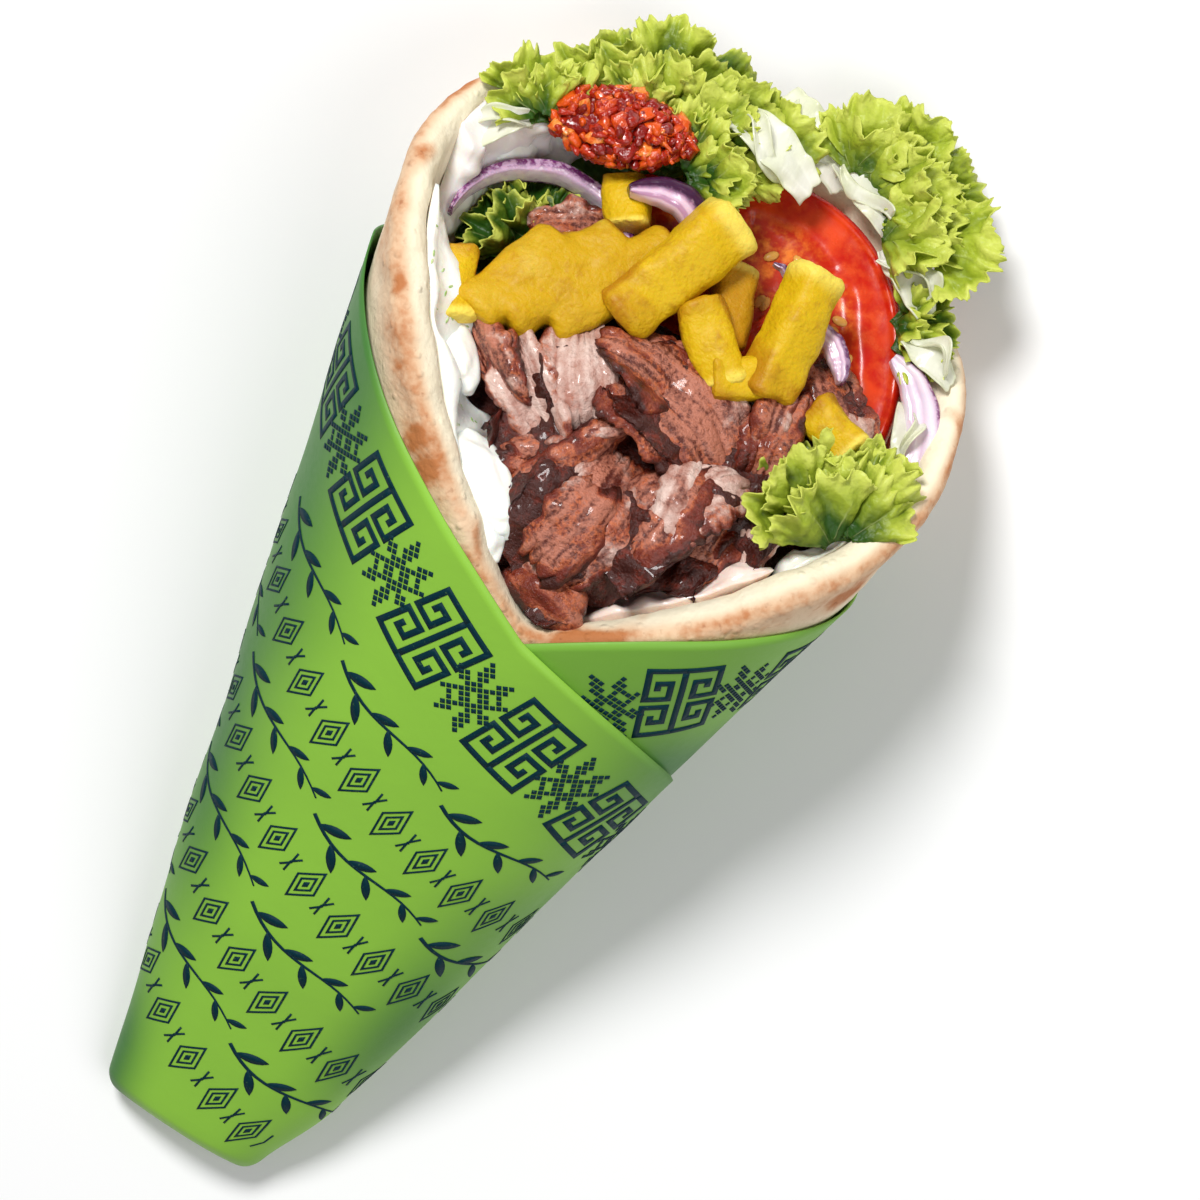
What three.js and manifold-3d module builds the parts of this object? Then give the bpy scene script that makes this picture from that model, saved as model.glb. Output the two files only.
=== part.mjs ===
// Gyro wrap in a printed paper cone, lying on its back with the filled mouth up and forward.
//
// Working frame, millimetres: x across, y from the tip of the cone to its mouth, z up from the
// table. The finished group is turned half round about z, so that the mouth faces -Y, and moved
// so that the origin is the middle of the footprint.

import * as THREE from 'three';
import { mergeVertices } from 'three/addons/utils/BufferGeometryUtils.js';
import Module from 'manifold-3d';

const wasm = await Module();
wasm.setup();

// ---------------------------------------------------------------- driving dimensions

const GAP = 0.3; // air between neighbouring pieces

const CONE = {
  tipHalfWidth: 14.2, // outside of the bread at y = 0
  halfWidthPerMm: 0.2065,
  tipHeight: 9,
  heightPerMm: 0.43,
  drop: 0.8, // how far the round underside is pressed flat on the table
};

const PAPER = {
  thickness: 0.5,
  turnStart: -30, // degrees round the cone, from the top towards +x
  turnEnd: 480,
  innerOffset: 0.3,
  lapOffset: 0.8, // how much further out the overlapping turn lies
  lapFrom: 215,
  lapTo: 325,
  backY: 149, // height of the top edge behind
  tipLength: 11, // folded end of the cone
  tipY: -3,
};

const BREAD = {
  thickness: 7.5,
  backThickness: 4,
  veeAngle: 8, // degrees round the cone of the lowest point of the rim
  veeY: 112,
  rise: 74, // from the lowest point of the rim to the highest
  floorY: 24, // where the filling starts
};

// The mouth plane: p across, q up the slope from the vee to the far rim, n out of the mouth.
const MOUTH = { x: 3, y: 148.5, z: 29, slope: 34 };

const rad = THREE.MathUtils.degToRad;

// ---------------------------------------------------------------- small helpers

function seeded(seed) {
  let state = seed * 2654435761 % 4294967296;
  return () => {
    state = (state * 1664525 + 1013904223) % 4294967296;
    return state / 4294967296;
  };
}

function smoothstep(from, to, value) {
  return THREE.MathUtils.smoothstep(value, from, to);
}

function signedVolume(points, triangles) {
  let sum = 0;
  for (const [a, b, c] of triangles) {
    sum += points[a].dot(new THREE.Vector3().crossVectors(points[b], points[c]));
  }
  return sum / 6;
}

// A closed body from points and triangles, turned the right way out.
function bodyOf(points, triangles) {
  const outward = signedVolume(points, triangles) > 0;
  const order = outward ? triangles : triangles.map(([a, b, c]) => [a, c, b]);
  const geometry = new THREE.BufferGeometry().setFromPoints(points);
  geometry.setIndex(order.flat());
  return manifoldOf(geometry);
}

function manifoldOf(source) {
  const bare = source.clone();
  bare.deleteAttribute('normal');
  bare.deleteAttribute('uv');
  const merged = mergeVertices(bare, 1e-4);
  return new wasm.Manifold(new wasm.Mesh({
    numProp: 3,
    vertProperties: new Float32Array(merged.attributes.position.array),
    triVerts: new Uint32Array(merged.index.array),
  }));
}

function geometryOf(solid) {
  const { vertProperties, triVerts } = solid.getMesh();
  const geometry = new THREE.BufferGeometry();
  geometry.setAttribute('position', new THREE.BufferAttribute(vertProperties, 3));
  geometry.setIndex(new THREE.BufferAttribute(triVerts, 1));
  const flat = geometry.toNonIndexed();
  flat.computeVertexNormals();
  return flat;
}

function largestPiece(name, solid) {
  const pieces = solid.decompose();
  if (pieces.length === 0) throw new Error(`nothing is left of ${name}`);
  return pieces.reduce((best, piece) => (piece.volume() > best.volume() ? piece : best));
}

// Rings of equal length, joined in order and closed with a fan at each end.
function loft(rings) {
  const count = rings[0].length;
  const points = rings.flat();
  const triangles = [];
  for (let ring = 0; ring + 1 < rings.length; ring += 1) {
    for (let step = 0; step < count; step += 1) {
      const a = ring * count + step;
      const b = ring * count + (step + 1) % count;
      triangles.push([a, b, b + count], [a, b + count, a + count]);
    }
  }
  for (const [ring, side] of [[0, 1], [rings.length - 1, -1]]) {
    const centre = new THREE.Vector3();
    rings[ring].forEach((point) => centre.addScaledVector(point, 1 / count));
    points.push(centre);
    for (let step = 0; step < count; step += 1) {
      const a = ring * count + step;
      const b = ring * count + (step + 1) % count;
      triangles.push(side > 0 ? [points.length - 1, b, a] : [points.length - 1, a, b]);
    }
  }
  return bodyOf(points, triangles);
}

// A thin body between two grids of points of the same size, with its edges stitched. Both faces
// are split into triangles alike.
function sheet(front, back) {
  const rows = front.length;
  const columns = front[0].length;
  const points = [...front.flat(), ...back.flat()];
  const half = rows * columns;
  const at = (row, column) => row * columns + column;
  const triangles = [];
  for (let row = 0; row + 1 < rows; row += 1) {
    for (let column = 0; column + 1 < columns; column += 1) {
      const [a, b] = [at(row, column), at(row, column + 1)];
      const [c, d] = [at(row + 1, column + 1), at(row + 1, column)];
      triangles.push([a, b, c], [a, c, d]);
      triangles.push([half + a, half + c, half + b], [half + a, half + d, half + c]);
    }
  }
  const edge = [];
  for (let column = 0; column + 1 < columns; column += 1) edge.push(at(0, column));
  for (let row = 0; row + 1 < rows; row += 1) edge.push(at(row, columns - 1));
  for (let column = columns - 1; column > 0; column -= 1) edge.push(at(rows - 1, column));
  for (let row = rows - 1; row > 0; row -= 1) edge.push(at(row, 0));
  edge.forEach((a, index) => {
    const b = edge[(index + 1) % edge.length];
    triangles.push([a, half + a, half + b], [a, half + b, b]);
  });
  return bodyOf(points, triangles);
}

// A grid of rows x columns points from a function of two numbers, each running from 0 to 1.
function grid(rows, columns, pointAt) {
  return Array.from({ length: rows + 1 }, (_, row) => (
    Array.from({ length: columns + 1 }, (__, column) => pointAt(row / rows, column / columns))
  ));
}

// Moves the border of a grid outward, each point in line with its neighbour.
function widened(points, margin) {
  const stretch = (line) => {
    for (const [end, next] of [[0, 1], [line.length - 1, line.length - 2]]) {
      const outward = line[end].clone().sub(line[next]).normalize();
      line[end].addScaledVector(outward, margin);
    }
  };
  points.forEach(stretch);
  points[0].forEach((_, column) => stretch(points.map((row) => row[column])));
  return points;
}

// A bent plate: the surface moved half the thickness to each side along its own normal.
function plate(rows, columns, surface, thickness, grow) {
  const [du, dv] = [1 / rows, 1 / columns];
  const side = (sign) => grid(rows, columns, (u, v) => {
    const here = surface(u, v);
    const alongU = surface(u + du, v).sub(surface(u - du, v));
    const alongV = surface(u, v + dv).sub(surface(u, v - dv));
    const normal = alongU.cross(alongV).normalize();
    return here.addScaledVector(normal, sign * (thickness / 2 + grow));
  });
  return sheet(widened(side(1), grow), widened(side(-1), grow));
}

// ---------------------------------------------------------------- the cone

function halfWidthAt(y) {
  return CONE.tipHalfWidth + CONE.halfWidthPerMm * y;
}

function halfHeightAt(y) {
  return (CONE.tipHeight + CONE.heightPerMm * y) / 2;
}

// A point on the cone: degrees round it from the top, distance from the tip, and distance out
// from the bread's outside. The underside is pressed flat, each layer on the one below it.
function onCone(degrees, y, offset = 0) {
  const angle = rad(degrees);
  const width = halfWidthAt(y) + offset;
  const height = halfHeightAt(y) + offset;
  const middle = halfHeightAt(y) + PAPER.innerOffset + PAPER.thickness - CONE.drop;
  const floor = PAPER.innerOffset + PAPER.thickness - offset;
  const z = middle + height * Math.cos(angle);
  return new THREE.Vector3(width * Math.sin(angle), y, Math.max(z, floor));
}

function rimY(degrees) {
  const s = Math.hypot(Math.sin(rad(degrees - BREAD.veeAngle) / 2), 0.05);
  return BREAD.veeY + BREAD.rise * (0.25 * s * s + 0.75 * s);
}

// ---------------------------------------------------------------- the paper

// Height of the sheet's top edge: hidden start, the edge that shows right of the vee, the back,
// and the long slanted edge of the lap that crosses the front.
function paperTopY(turn) {
  const { veeY, veeAngle } = BREAD;
  const past = turn - 360 - veeAngle;
  const inner = PAPER.backY - (PAPER.backY - veeY) * Math.exp(-(turn - veeAngle) / 68);
  const lap = veeY + 0.5 - 0.285 * past + 0.09 * Math.abs(past);
  return Math.min(inner, lap);
}

function paperOffset(turn) {
  return PAPER.innerOffset + PAPER.lapOffset * smoothstep(PAPER.lapFrom, PAPER.lapTo, turn);
}

function buildPaper() {
  const turns = 60;
  const { turnStart, turnEnd, thickness } = PAPER;
  const face = (extra) => grid(turns, 1, (u, v) => {
    const turn = turnStart + (turnEnd - turnStart) * u;
    const y = v === 0 ? 2 : paperTopY(turn);
    return onCone(turn, y, paperOffset(turn) + extra);
  });
  const wrapped = sheet(face(thickness), face(0));

  // The folded end: a flattened cup that both turns run into.
  const around = 26;
  const ring = (y, offset, squash) => Array.from({ length: around }, (_, step) => {
    const point = onCone(step * 360 / around, y, offset);
    const middle = halfHeightAt(y);
    point.z = Math.max(middle + (point.z - middle) * squash, 0);
    point.x *= 1 - 0.35 * (1 - squash);
    return point;
  });
  const outside = PAPER.innerOffset + PAPER.lapOffset + thickness + 0.15;
  const inside = PAPER.innerOffset + 0.2;
  const { tipY, tipLength } = PAPER;
  const end = loft([
    ring(tipY, outside - 2.5, 0.45), ring(tipY + 0.8, outside - 0.8, 0.8),
    ring(tipY + 3, outside, 1), ring(tipLength, outside, 1),
    ring(tipLength, inside, 1), ring(tipY + 3, inside, 1), ring(tipY + 1.2, inside - 1.5, 0.6),
  ]);
  return wrapped.add(end);
}

// ---------------------------------------------------------------- the bread

// Thick at the vee, thin at the sides and behind.
function breadThickness(degrees) {
  const fromVee = Math.abs(THREE.MathUtils.euclideanModulo(degrees - BREAD.veeAngle + 180, 360)
    - 180);
  const { thickness, backThickness } = BREAD;
  return THREE.MathUtils.lerp(thickness, backThickness, smoothstep(50, 115, fromVee))
    + 0.4 * Math.sin(rad(3 * degrees + 40));
}

function buildBread(grow = 0) {
  const around = 40;
  const ring = (yAt, offsetAt) => Array.from({ length: around }, (_, step) => {
    const degrees = step * 360 / around;
    return onCone(degrees, yAt(degrees), offsetAt(degrees));
  });
  const topOf = (degrees) => rimY(degrees) + grow;
  const outer = grow;
  const inner = (degrees) => -breadThickness(degrees) - grow;
  const lipRise = 3.2; // the rim is a half round this much higher than its sides
  const lip = [30, 72, 108, 150].map((lean) => ring(
    (degrees) => topOf(degrees) - lipRise * (1 - Math.sin(rad(lean))),
    (degrees) => THREE.MathUtils.lerp(inner(degrees), outer, (1 + Math.cos(rad(lean))) / 2),
  ));
  return loft([
    ring(() => 0.5 - grow, () => outer - 1), ring(() => 3, () => outer),
    ring((degrees) => topOf(degrees) - lipRise - 2, () => outer), ...lip,
    ring((degrees) => topOf(degrees) - lipRise - 2, inner), ring(() => BREAD.floorY - grow, inner),
  ]);
}

// The space inside the bread, as far as the filling may reach.
function buildInside(clearance) {
  const around = 28;
  const ring = (y) => Array.from({ length: around }, (_, step) => {
    const degrees = step * 360 / around;
    return onCone(degrees, y, -breadThickness(degrees) - clearance);
  });
  return loft([ring(BREAD.floorY + clearance), ring(205)]);
}

// ---------------------------------------------------------------- places in the mouth

const MOUTH_FRAME = new THREE.Matrix4().makeRotationX(-rad(MOUTH.slope));
MOUTH_FRAME.setPosition(MOUTH.x, MOUTH.y, MOUTH.z);

// A frame at p, q, n whose x axis points at spin degrees in the mouth plane, lifted out of it by
// lift degrees and rolled about itself.
function placed({ at, spin = 0, lift = 0, roll = 0 }) {
  const turn = new THREE.Euler(rad(roll), -rad(lift), rad(spin), 'ZYX');
  const matrix = new THREE.Matrix4().makeRotationFromEuler(turn);
  matrix.setPosition(...at);
  return matrix.premultiply(MOUTH_FRAME);
}

function atMouth(p, q, n) {
  return new THREE.Vector3(p, q, n).applyMatrix4(MOUTH_FRAME);
}

// ---------------------------------------------------------------- fries

const FRIES = {
  fry_long: { at: [-8, 12.5, 14], size: [24, 10, 9], spin: 71, lift: 10, roll: 20, seed: 1 },
  fry_right: { at: [11.5, 13, 15], size: [21, 8.5, 8.5], spin: 98, lift: 12, roll: 35, seed: 2 },
  fry_mid: { at: [2.5, 6, 13], size: [14, 8, 8], spin: -40, lift: -8, roll: 15, seed: 3 },
  fry_stub: { at: [8.5, 3.5, 13.5], size: [9, 7, 6], spin: 35, roll: 10, seed: 4 },
  fry_left: { at: [-34.5, -7, 10], size: [12, 7.5, 7], spin: -60, lift: 5, seed: 5 },
  fry_top: { at: [-19.5, 19, 9.5], size: [10, 8, 7], spin: -60, lift: 5, roll: 30, seed: 6 },
  fry_under: { at: [-11, -1.5, 5.5], size: [11, 7, 7], spin: 10, roll: 20, seed: 7 },
  fry_deep: { at: [1.5, 13.5, 9], size: [14, 7, 7], spin: 110, roll: 10, seed: 8 },
  fry_orange: { at: [24.5, 4, 11], size: [9.5, 7, 6], spin: -20, lift: 6, roll: 25, seed: 9 },
};

function buildFry({ size: [long, wide, thick], seed, ...place }, grow = 0) {
  const random = seeded(seed);
  const frame = placed(place);
  const bow = 1.2 * (random() - 0.5);
  const sides = 8;
  const uneven = Array.from({ length: sides }, () => 0.94 + 0.1 * random());
  const stations = [[-0.5, 0.74], [-0.42, 1], [0.43, 0.97], [0.5, 0.72]];
  return loft(stations.map(([along, scale]) => Array.from({ length: sides }, (_, side) => {
    const angle = rad(360 / sides * (side + 0.5));
    const corner = Math.pow(Math.abs(Math.cos(angle)), 0.55) * Math.sign(Math.cos(angle));
    const rise = Math.pow(Math.abs(Math.sin(angle)), 0.55) * Math.sign(Math.sin(angle));
    return new THREE.Vector3(
      along * (long + 2 * grow),
      corner * (wide / 2 * scale * uneven[side] + grow) + bow * (1 - 4 * along * along),
      rise * (thick / 2 * scale * uneven[side] + grow),
    ).applyMatrix4(frame);
  })));
}

// The broad piece: three lengths that have stuck together.
const FRY_CLUSTER = [
  { at: [-15, 6, 11], size: [23, 9, 8.5], spin: 63, lift: 4, roll: 8, seed: 11 },
  { at: [-21.5, 3, 11], size: [22, 9, 8.5], spin: 68, lift: 2, roll: -5, seed: 12 },
  { at: [-27.5, -1, 10.5], size: [18, 8.5, 8], spin: 74, roll: -12, seed: 13 },
];

function buildCluster(grow = 0) {
  return FRY_CLUSTER.map((fry) => buildFry(fry, grow)).reduce((all, fry) => all.add(fry));
}

// ---------------------------------------------------------------- tomato and onion

const TOMATO = { at: [2.5, 8.5, -1.5], radius: 30.5, thick: 7, spin: 75, lift: 5 };

function buildTomato(grow = 0) {
  const { radius, thick } = TOMATO;
  const half = thick / 2 + grow;
  const edge = 1.8;
  const profile = [
    [0, -half], [radius - edge + grow, -half], [radius + grow, -half + edge],
    [radius + grow, half - edge], [radius - edge + grow, half], [0, half],
  ].map(([x, y]) => new THREE.Vector2(x, y));
  const turned = new THREE.LatheGeometry(profile, 32);
  turned.rotateX(Math.PI / 2);
  const position = turned.attributes.position;
  for (let index = 0; index < position.count; index += 1) {
    const [x, y] = [position.getX(index), position.getY(index)];
    const lobes = 1 + 0.012 * Math.cos(5 * Math.atan2(y, x) + 0.6);
    position.setXY(index, x * lobes * 1.02, y * lobes * 0.98);
  }
  turned.applyMatrix4(placed(TOMATO));
  return manifoldOf(turned);
}

// A band cut from an onion ring: an arc in its own xy plane, wide along the radius, high in z.
const ONIONS = {
  onion_arch: { at: [-27, 5, 7.5], radius: 15.5, wide: 2.6, high: 4.5, from: -12, to: 168,
    spin: 16, roll: -8 },
  onion_mid: { at: [-13.5, 13.5, 14], radius: 11, wide: 5, high: 4, from: 20, to: 140 },
  onion_right: { at: [23.5, 8, 6], radius: 17, wide: 5.5, high: 3, from: -12, to: 80, spin: -2 },
  onion_inner: { at: [13, 8.5, 11], radius: 11, wide: 3.6, high: 3, from: 20, to: 88, lift: 8 },
  onion_sliver: { at: [4.5, 14, 12], radius: 9, wide: 1.4, high: 2, from: 40, to: 95 },
};

function buildOnion({ radius, wide, high, from, to, ...place }, grow = 0) {
  const frame = placed(place);
  const steps = Math.max(4, Math.round((to - from) / 15));
  const slack = grow / radius * 180 / Math.PI;
  return loft(Array.from({ length: steps + 1 }, (_, step) => {
    const share = step / steps;
    const angle = rad(THREE.MathUtils.lerp(from - slack, to + slack, share));
    const narrow = Math.max(0.35, Math.sqrt(Math.sin(Math.PI * (0.04 + 0.92 * share))));
    const half = wide / 2 * narrow + grow;
    const rise = high / 2 + grow;
    const section = [[half, -0.6], [half, 0.6], [0.6 * half, 1], [-0.6 * half, 1],
      [-half, 0.6], [-half, -0.6], [-0.6 * half, -1], [0.6 * half, -1]];
    return section.map(([out, up]) => {
      const reach = radius - wide / 2 + out;
      return new THREE.Vector3(reach * Math.cos(angle), reach * Math.sin(angle), up * rise)
        .applyMatrix4(frame);
    });
  }));
}

// ---------------------------------------------------------------- leaves and strips

// A frilled leaf: a fan from root to reach whose edge runs in waves. Its x axis is the rib.
const LEAVES = {
  leaf_back: { at: [-19, 23, 7.5], reach: 25.5, spread: 70, wave: 3.6, lobes: 6, cup: -1,
    spin: 98, lift: 6, seed: 21 },
  leaf_right: { at: [4.5, 31, 7], root: 9.5, reach: 30, spread: 36, wave: 3.2, lobes: 5, cup: 0,
    spin: 62, lift: 10, seed: 22 },
  leaf_corner: { at: [-34.5, 16, 14.5], reach: 15, spread: 38, wave: 2, lobes: 4, cup: 0,
    spin: 136, seed: 23 },
  leaf_side: { at: [22.5, 24.5, 4], reach: 12, spread: 45, wave: 2, lobes: 3, cup: 0,
    spin: 32, lift: 10, seed: 24 },
  leaf_front: { at: [37.5, -11, 9.5], reach: 20, spread: 50, wave: 2.4, lobes: 5, cup: -1,
    spin: 136, lift: 5, seed: 25 },
  leaf_inner: { at: [-28.5, 6, -1], reach: 9.5, spread: 75, wave: 2.4, lobes: 5, cup: 0,
    spin: 150, lift: 6, seed: 26 },
  leaf_relish: { at: [-16, 24, 12.5], reach: 13, spread: 45, wave: 2, lobes: 3, cup: 0,
    spin: 52, lift: 4, seed: 27 },
};

const LEAF_THICKNESS = 1.1;

function leafSurface({ root = 3, reach, spread, wave, lobes, cup, seed, ...place }) {
  const random = seeded(seed);
  const phase = random() * Math.PI * 2;
  const drift = random() * Math.PI * 2;
  const frame = placed(place);
  return (across, along) => {
    const side = 2 * across - 1;
    const angle = rad(spread) * side;
    const ruffle = Math.sin(lobes * Math.PI * side + phase + 0.7 * Math.sin(2 * side + drift));
    const ragged = 1 + 0.07 * Math.cos(2 * lobes * Math.PI * side + drift) - 0.12 * side * side;
    const out = root + (reach - root) * along * ragged;
    const lift = wave * Math.max(along, 0) ** 1.6 * ruffle + cup * side * side * along;
    return new THREE.Vector3(out * Math.cos(angle), out * Math.sin(angle), lift)
      .applyMatrix4(frame);
  };
}

function buildLeaf(leaf, grow = 0) {
  return plate(leaf.lobes * 3, 3, leafSurface(leaf), LEAF_THICKNESS, grow);
}

// Pale curled strips: long, narrow and arched.
const STRIPS = {
  strip_curl: { at: [-4.5, 35.5, 15], long: 18, wide: 7, arch: 3.5, twist: 25, spin: -14, lift: 4 },
  strip_back: { at: [-1, 45, 6], long: 17, wide: 7, arch: 2.5, twist: -20, spin: -28 },
  strip_tomato: { at: [9.5, 39, 12], long: 14, wide: 4.5, arch: 1.5, twist: 15, spin: -24 },
  strip_side: { at: [22, 33, 8], long: 12, wide: 5.5, arch: 2, twist: -20, spin: -30 },
  strip_low: { at: [31, 24, 8], long: 10, wide: 4.5, arch: 1.5, twist: 20, spin: -15 },
  strip_gap: { at: [34, 12.5, 5.5], long: 11, wide: 4, arch: 1.5, twist: 30, spin: -65 },
  strip_corner: { at: [-38.5, 21, 9.5], long: 15, wide: 6, arch: 2, twist: 20, spin: 35, lift: 4 },
};

function buildStrip({ long, wide, arch, twist, ...place }, grow = 0) {
  const frame = placed(place);
  const surface = (along, across) => {
    const run = (along - 0.5) * long;
    const side = (across - 0.5) * wide * (0.7 + 0.3 * Math.sin(Math.PI * along));
    const turn = rad(twist) * (2 * along - 1);
    const rise = arch * (Math.cos(Math.PI * (along - 0.5)) - 0.5);
    return new THREE.Vector3(run, side * Math.cos(turn), rise + side * Math.sin(turn))
      .applyMatrix4(frame);
  };
  return plate(8, 2, surface, LEAF_THICKNESS, grow);
}

// ---------------------------------------------------------------- sauces and relish

// A sauce lies as an uneven layer on the inside of the bread: an arc of the cone, a depth down
// inside, and a bulge where it is squeezed out at the mouth.
const SAUCES = {
  tzatziki: { from: -84, to: -12, depth: 60, thick: 9, below: 1.5, seed: 31 },
  sauce_corner: { from: -140, to: -96, depth: 18, thick: 1.6, below: 1.5, seed: 32 },
  sauce_front: { from: 8, to: 58, depth: 24, thick: 5, below: 1.5, seed: 33 },
  sauce_right: { from: 66, to: 100, depth: 16, thick: 3, below: 4, seed: 34 },
};

function buildSauce({ from, to, depth, thick, below, seed }, grow = 0) {
  const random = seeded(seed);
  const phase = random() * 6;
  const steps = Math.max(6, Math.round((to - from) / 9));
  const face = (inside) => grid(steps, 4, (u, v) => {
    const degrees = THREE.MathUtils.lerp(from, to, u);
    const wall = -breadThickness(degrees) - 2 * GAP;
    const y = rimY(degrees) - below - depth * (1 - v);
    const ends = Math.sin(Math.PI * THREE.MathUtils.clamp(0.06 + 0.88 * u, 0, 1)) ** 0.5;
    const lump = 1 + 0.3 * Math.sin(5 * u * Math.PI + phase) * v;
    const swell = 0.45 + 0.65 * v * v - (v === 1 ? 0.35 : 0);
    return onCone(degrees, y, inside ? wall - thick * ends * lump * swell - grow : wall + grow);
  });
  return sheet(widened(face(false), grow), widened(face(true), grow));
}

const RELISH = { at: [-26, 26, 14.5], long: 10.5, wide: 5.5, high: 4, spin: 8 };

function buildRelish(grow = 0) {
  const { long, wide, high } = RELISH;
  const blob = new THREE.IcosahedronGeometry(1, 3);
  const position = blob.attributes.position;
  const point = new THREE.Vector3();
  for (let index = 0; index < position.count; index += 1) {
    point.fromBufferAttribute(position, index);
    const lumps = 1 + 0.1 * Math.sin(5.1 * point.x + 2.3) * Math.sin(6.3 * point.y + 0.4)
      + 0.07 * Math.sin(9.7 * point.y + 4 * point.z) * Math.sin(8.9 * point.x + 1.2);
    point.multiplyScalar(lumps);
    position.setXYZ(index, point.x * (long + grow), point.y * (wide + grow),
      point.z * (high + grow));
  }
  blob.applyMatrix4(placed(RELISH));
  return manifoldOf(blob);
}

// ---------------------------------------------------------------- meat

// Shaved slices: ragged bent plates, each longest along its own x axis.
const SLICES = [
  { at: [-26.5, -14, 10.5], size: [17, 8, 3.5], spin: -30, lift: 8, roll: 50, bend: 2, seed: 41 },
  { at: [-18, -15.5, 12], size: [20, 11, 3.2], spin: -34, lift: -4, roll: 30, bend: 3, seed: 42 },
  { at: [-11.5, -10, 12.5], size: [20, 13, 3.2], spin: -54, lift: -8, roll: 18, bend: 3, seed: 43 },
  { at: [-17, -21.5, 7.5], size: [18, 12, 4], spin: 20, roll: 10, bend: -2, seed: 44 },
  { at: [-7.5, -21, 11], size: [22, 7, 3.4], spin: 70, lift: 6, roll: 40, bend: 2, seed: 45 },
  { at: [1.5, -5.5, 14], size: [26, 19, 4], spin: -12, roll: -14, bend: 4, seed: 46 },
  { at: [-2, -27, 11], size: [27, 19, 4], spin: 84, lift: 8, roll: 12, bend: 5, seed: 48 },
  { at: [9, -23, 12.5], size: [24, 14, 3.6], spin: 86, lift: 6, roll: -14, bend: 4, seed: 49 },
  { at: [13, -16, 13.5], size: [17, 12, 3.4], spin: 60, roll: -24, bend: 3, seed: 50 },
  { at: [21, -12, 10.5], size: [20, 12, 3.4], spin: -72, lift: -6, roll: 20, bend: 3, seed: 51 },
  { at: [17, -1, 12.5], size: [17, 10, 3.6], spin: -84, lift: -4, roll: 10, bend: 2, seed: 52 },
  { at: [22.5, 8.5, 10], size: [19, 12, 4], spin: -38, roll: 12, bend: 2, seed: 53 },
  { at: [2, -40, 4.5], size: [15, 10, 4], spin: -6, roll: 10, bend: 2, seed: 54 },
  { at: [18.5, -23, 7.5], size: [13, 9, 3.6], spin: 88, roll: -10, bend: 2, seed: 55 },
];

const SLICE_BEHIND = {
  at: [-23, 11.5, 7], size: [17, 8, 3.4], spin: 32, roll: 12, bend: 2, seed: 58,
};

function buildSlice({ size: [long, wide, thick], bend, seed, ...place }, grow = 0) {
  const random = seeded(seed);
  const ragged = Array.from({ length: 6 }, () => 0.78 + 0.3 * random());
  const phase = random() * 6;
  const frame = placed(place);
  const surface = (u, v) => {
    const along = 2 * u - 1;
    const across = 2 * v - 1;
    const nearest = ragged[Math.min(5, Math.max(0, Math.round(u * 5)))];
    const tip = Math.sqrt(Math.max(0.15, 1 - 0.75 * along * along));
    const x = along * long / 2 * (0.88 + 0.12 * Math.cos(2.2 * across + phase));
    const y = across * wide / 2 * nearest * tip;
    const z = -bend * along * along + 0.9 * Math.sin(2.6 * across + phase) + 0.8 * across * along;
    return new THREE.Vector3(x, y, z).applyMatrix4(frame);
  };
  return plate(Math.round(long / 6.5), 2, surface, thick, grow);
}

// A block in the mouth frame under a surface of height topAt(p, q).
function buildBed(topAt) {
  const reach = 62;
  const face = (heightAt) => grid(7, 7, (u, v) => {
    const [p, q] = [(2 * u - 1) * reach, (2 * v - 1) * reach];
    return atMouth(p, q, heightAt(p, q));
  });
  return sheet(face(topAt), face(() => -190));
}

function meatTop(p, q) {
  const dome = 1 - ((q + 16) / 44) ** 2 - (p / 46) ** 2;
  return -3 + 12 * Math.max(dome, -0.6) + 0.8 * Math.sin(0.5 * p + 0.3 * q);
}

function saladTop(p, q) {
  return -2 + 1.2 * Math.sin(0.35 * p + 1) * Math.sin(0.4 * q) - 0.004 * (q - 20) ** 2;
}

const SALAD_SHARE = 0.36; // of the height of the cone

// The layer of salad lies along the back of the wrap, under the meat.
function buildBelow(share, lowered = 0) {
  const across = 70;
  const face = (heightAt) => grid(1, 6, (u, v) => {
    const y = v * 210;
    return new THREE.Vector3((2 * u - 1) * across, y, heightAt(y));
  });
  const split = (y) => share * 2 * halfHeightAt(y) - lowered;
  return sheet(face(split), face(() => -20));
}

// ---------------------------------------------------------------- put together

const COLOURS = {
  paper: 0x8bc240, bread: 0xf0dfbd, fry: 0xe8c040, tomato: 0xd8401f, onion: 0xd9b9cc,
  leaf: 0xa5bf36, pale: 0xe9eccb, sauce: 0xfbf8ec, relish: 0xa8301f, meat: 0x8a5548,
};

function materialFor(name) {
  const kinds = [['paper', 'paper', 0.55], ['pita', 'bread', 0.8], ['fry', 'fry', 0.45],
    ['tomato', 'tomato', 0.25], ['onion', 'onion', 0.35], ['leaf', 'leaf', 0.4],
    ['salad', 'leaf', 0.4], ['strip', 'pale', 0.35], ['tzatziki', 'sauce', 0.25],
    ['sauce', 'sauce', 0.25], ['relish', 'relish', 0.2], ['meat', 'meat', 0.45]];
  const [, colour, roughness] = kinds.find(([start]) => name.startsWith(start));
  return new THREE.MeshStandardMaterial({ color: COLOURS[colour], roughness, metalness: 0 });
}

// Pieces in the order in which they keep their room: each is cut clear of those before it.
function entries(table, build) {
  return Object.entries(table).map(([name, item]) => [name, (grow) => build(item, grow)]);
}

const meatCore = buildInside(2 * GAP).intersect(buildBed(meatTop))
  .subtract(buildBelow(SALAD_SHARE));
const saladCore = buildInside(2 * GAP).intersect(buildBed(saladTop))
  .intersect(buildBelow(SALAD_SHARE, GAP));

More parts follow.
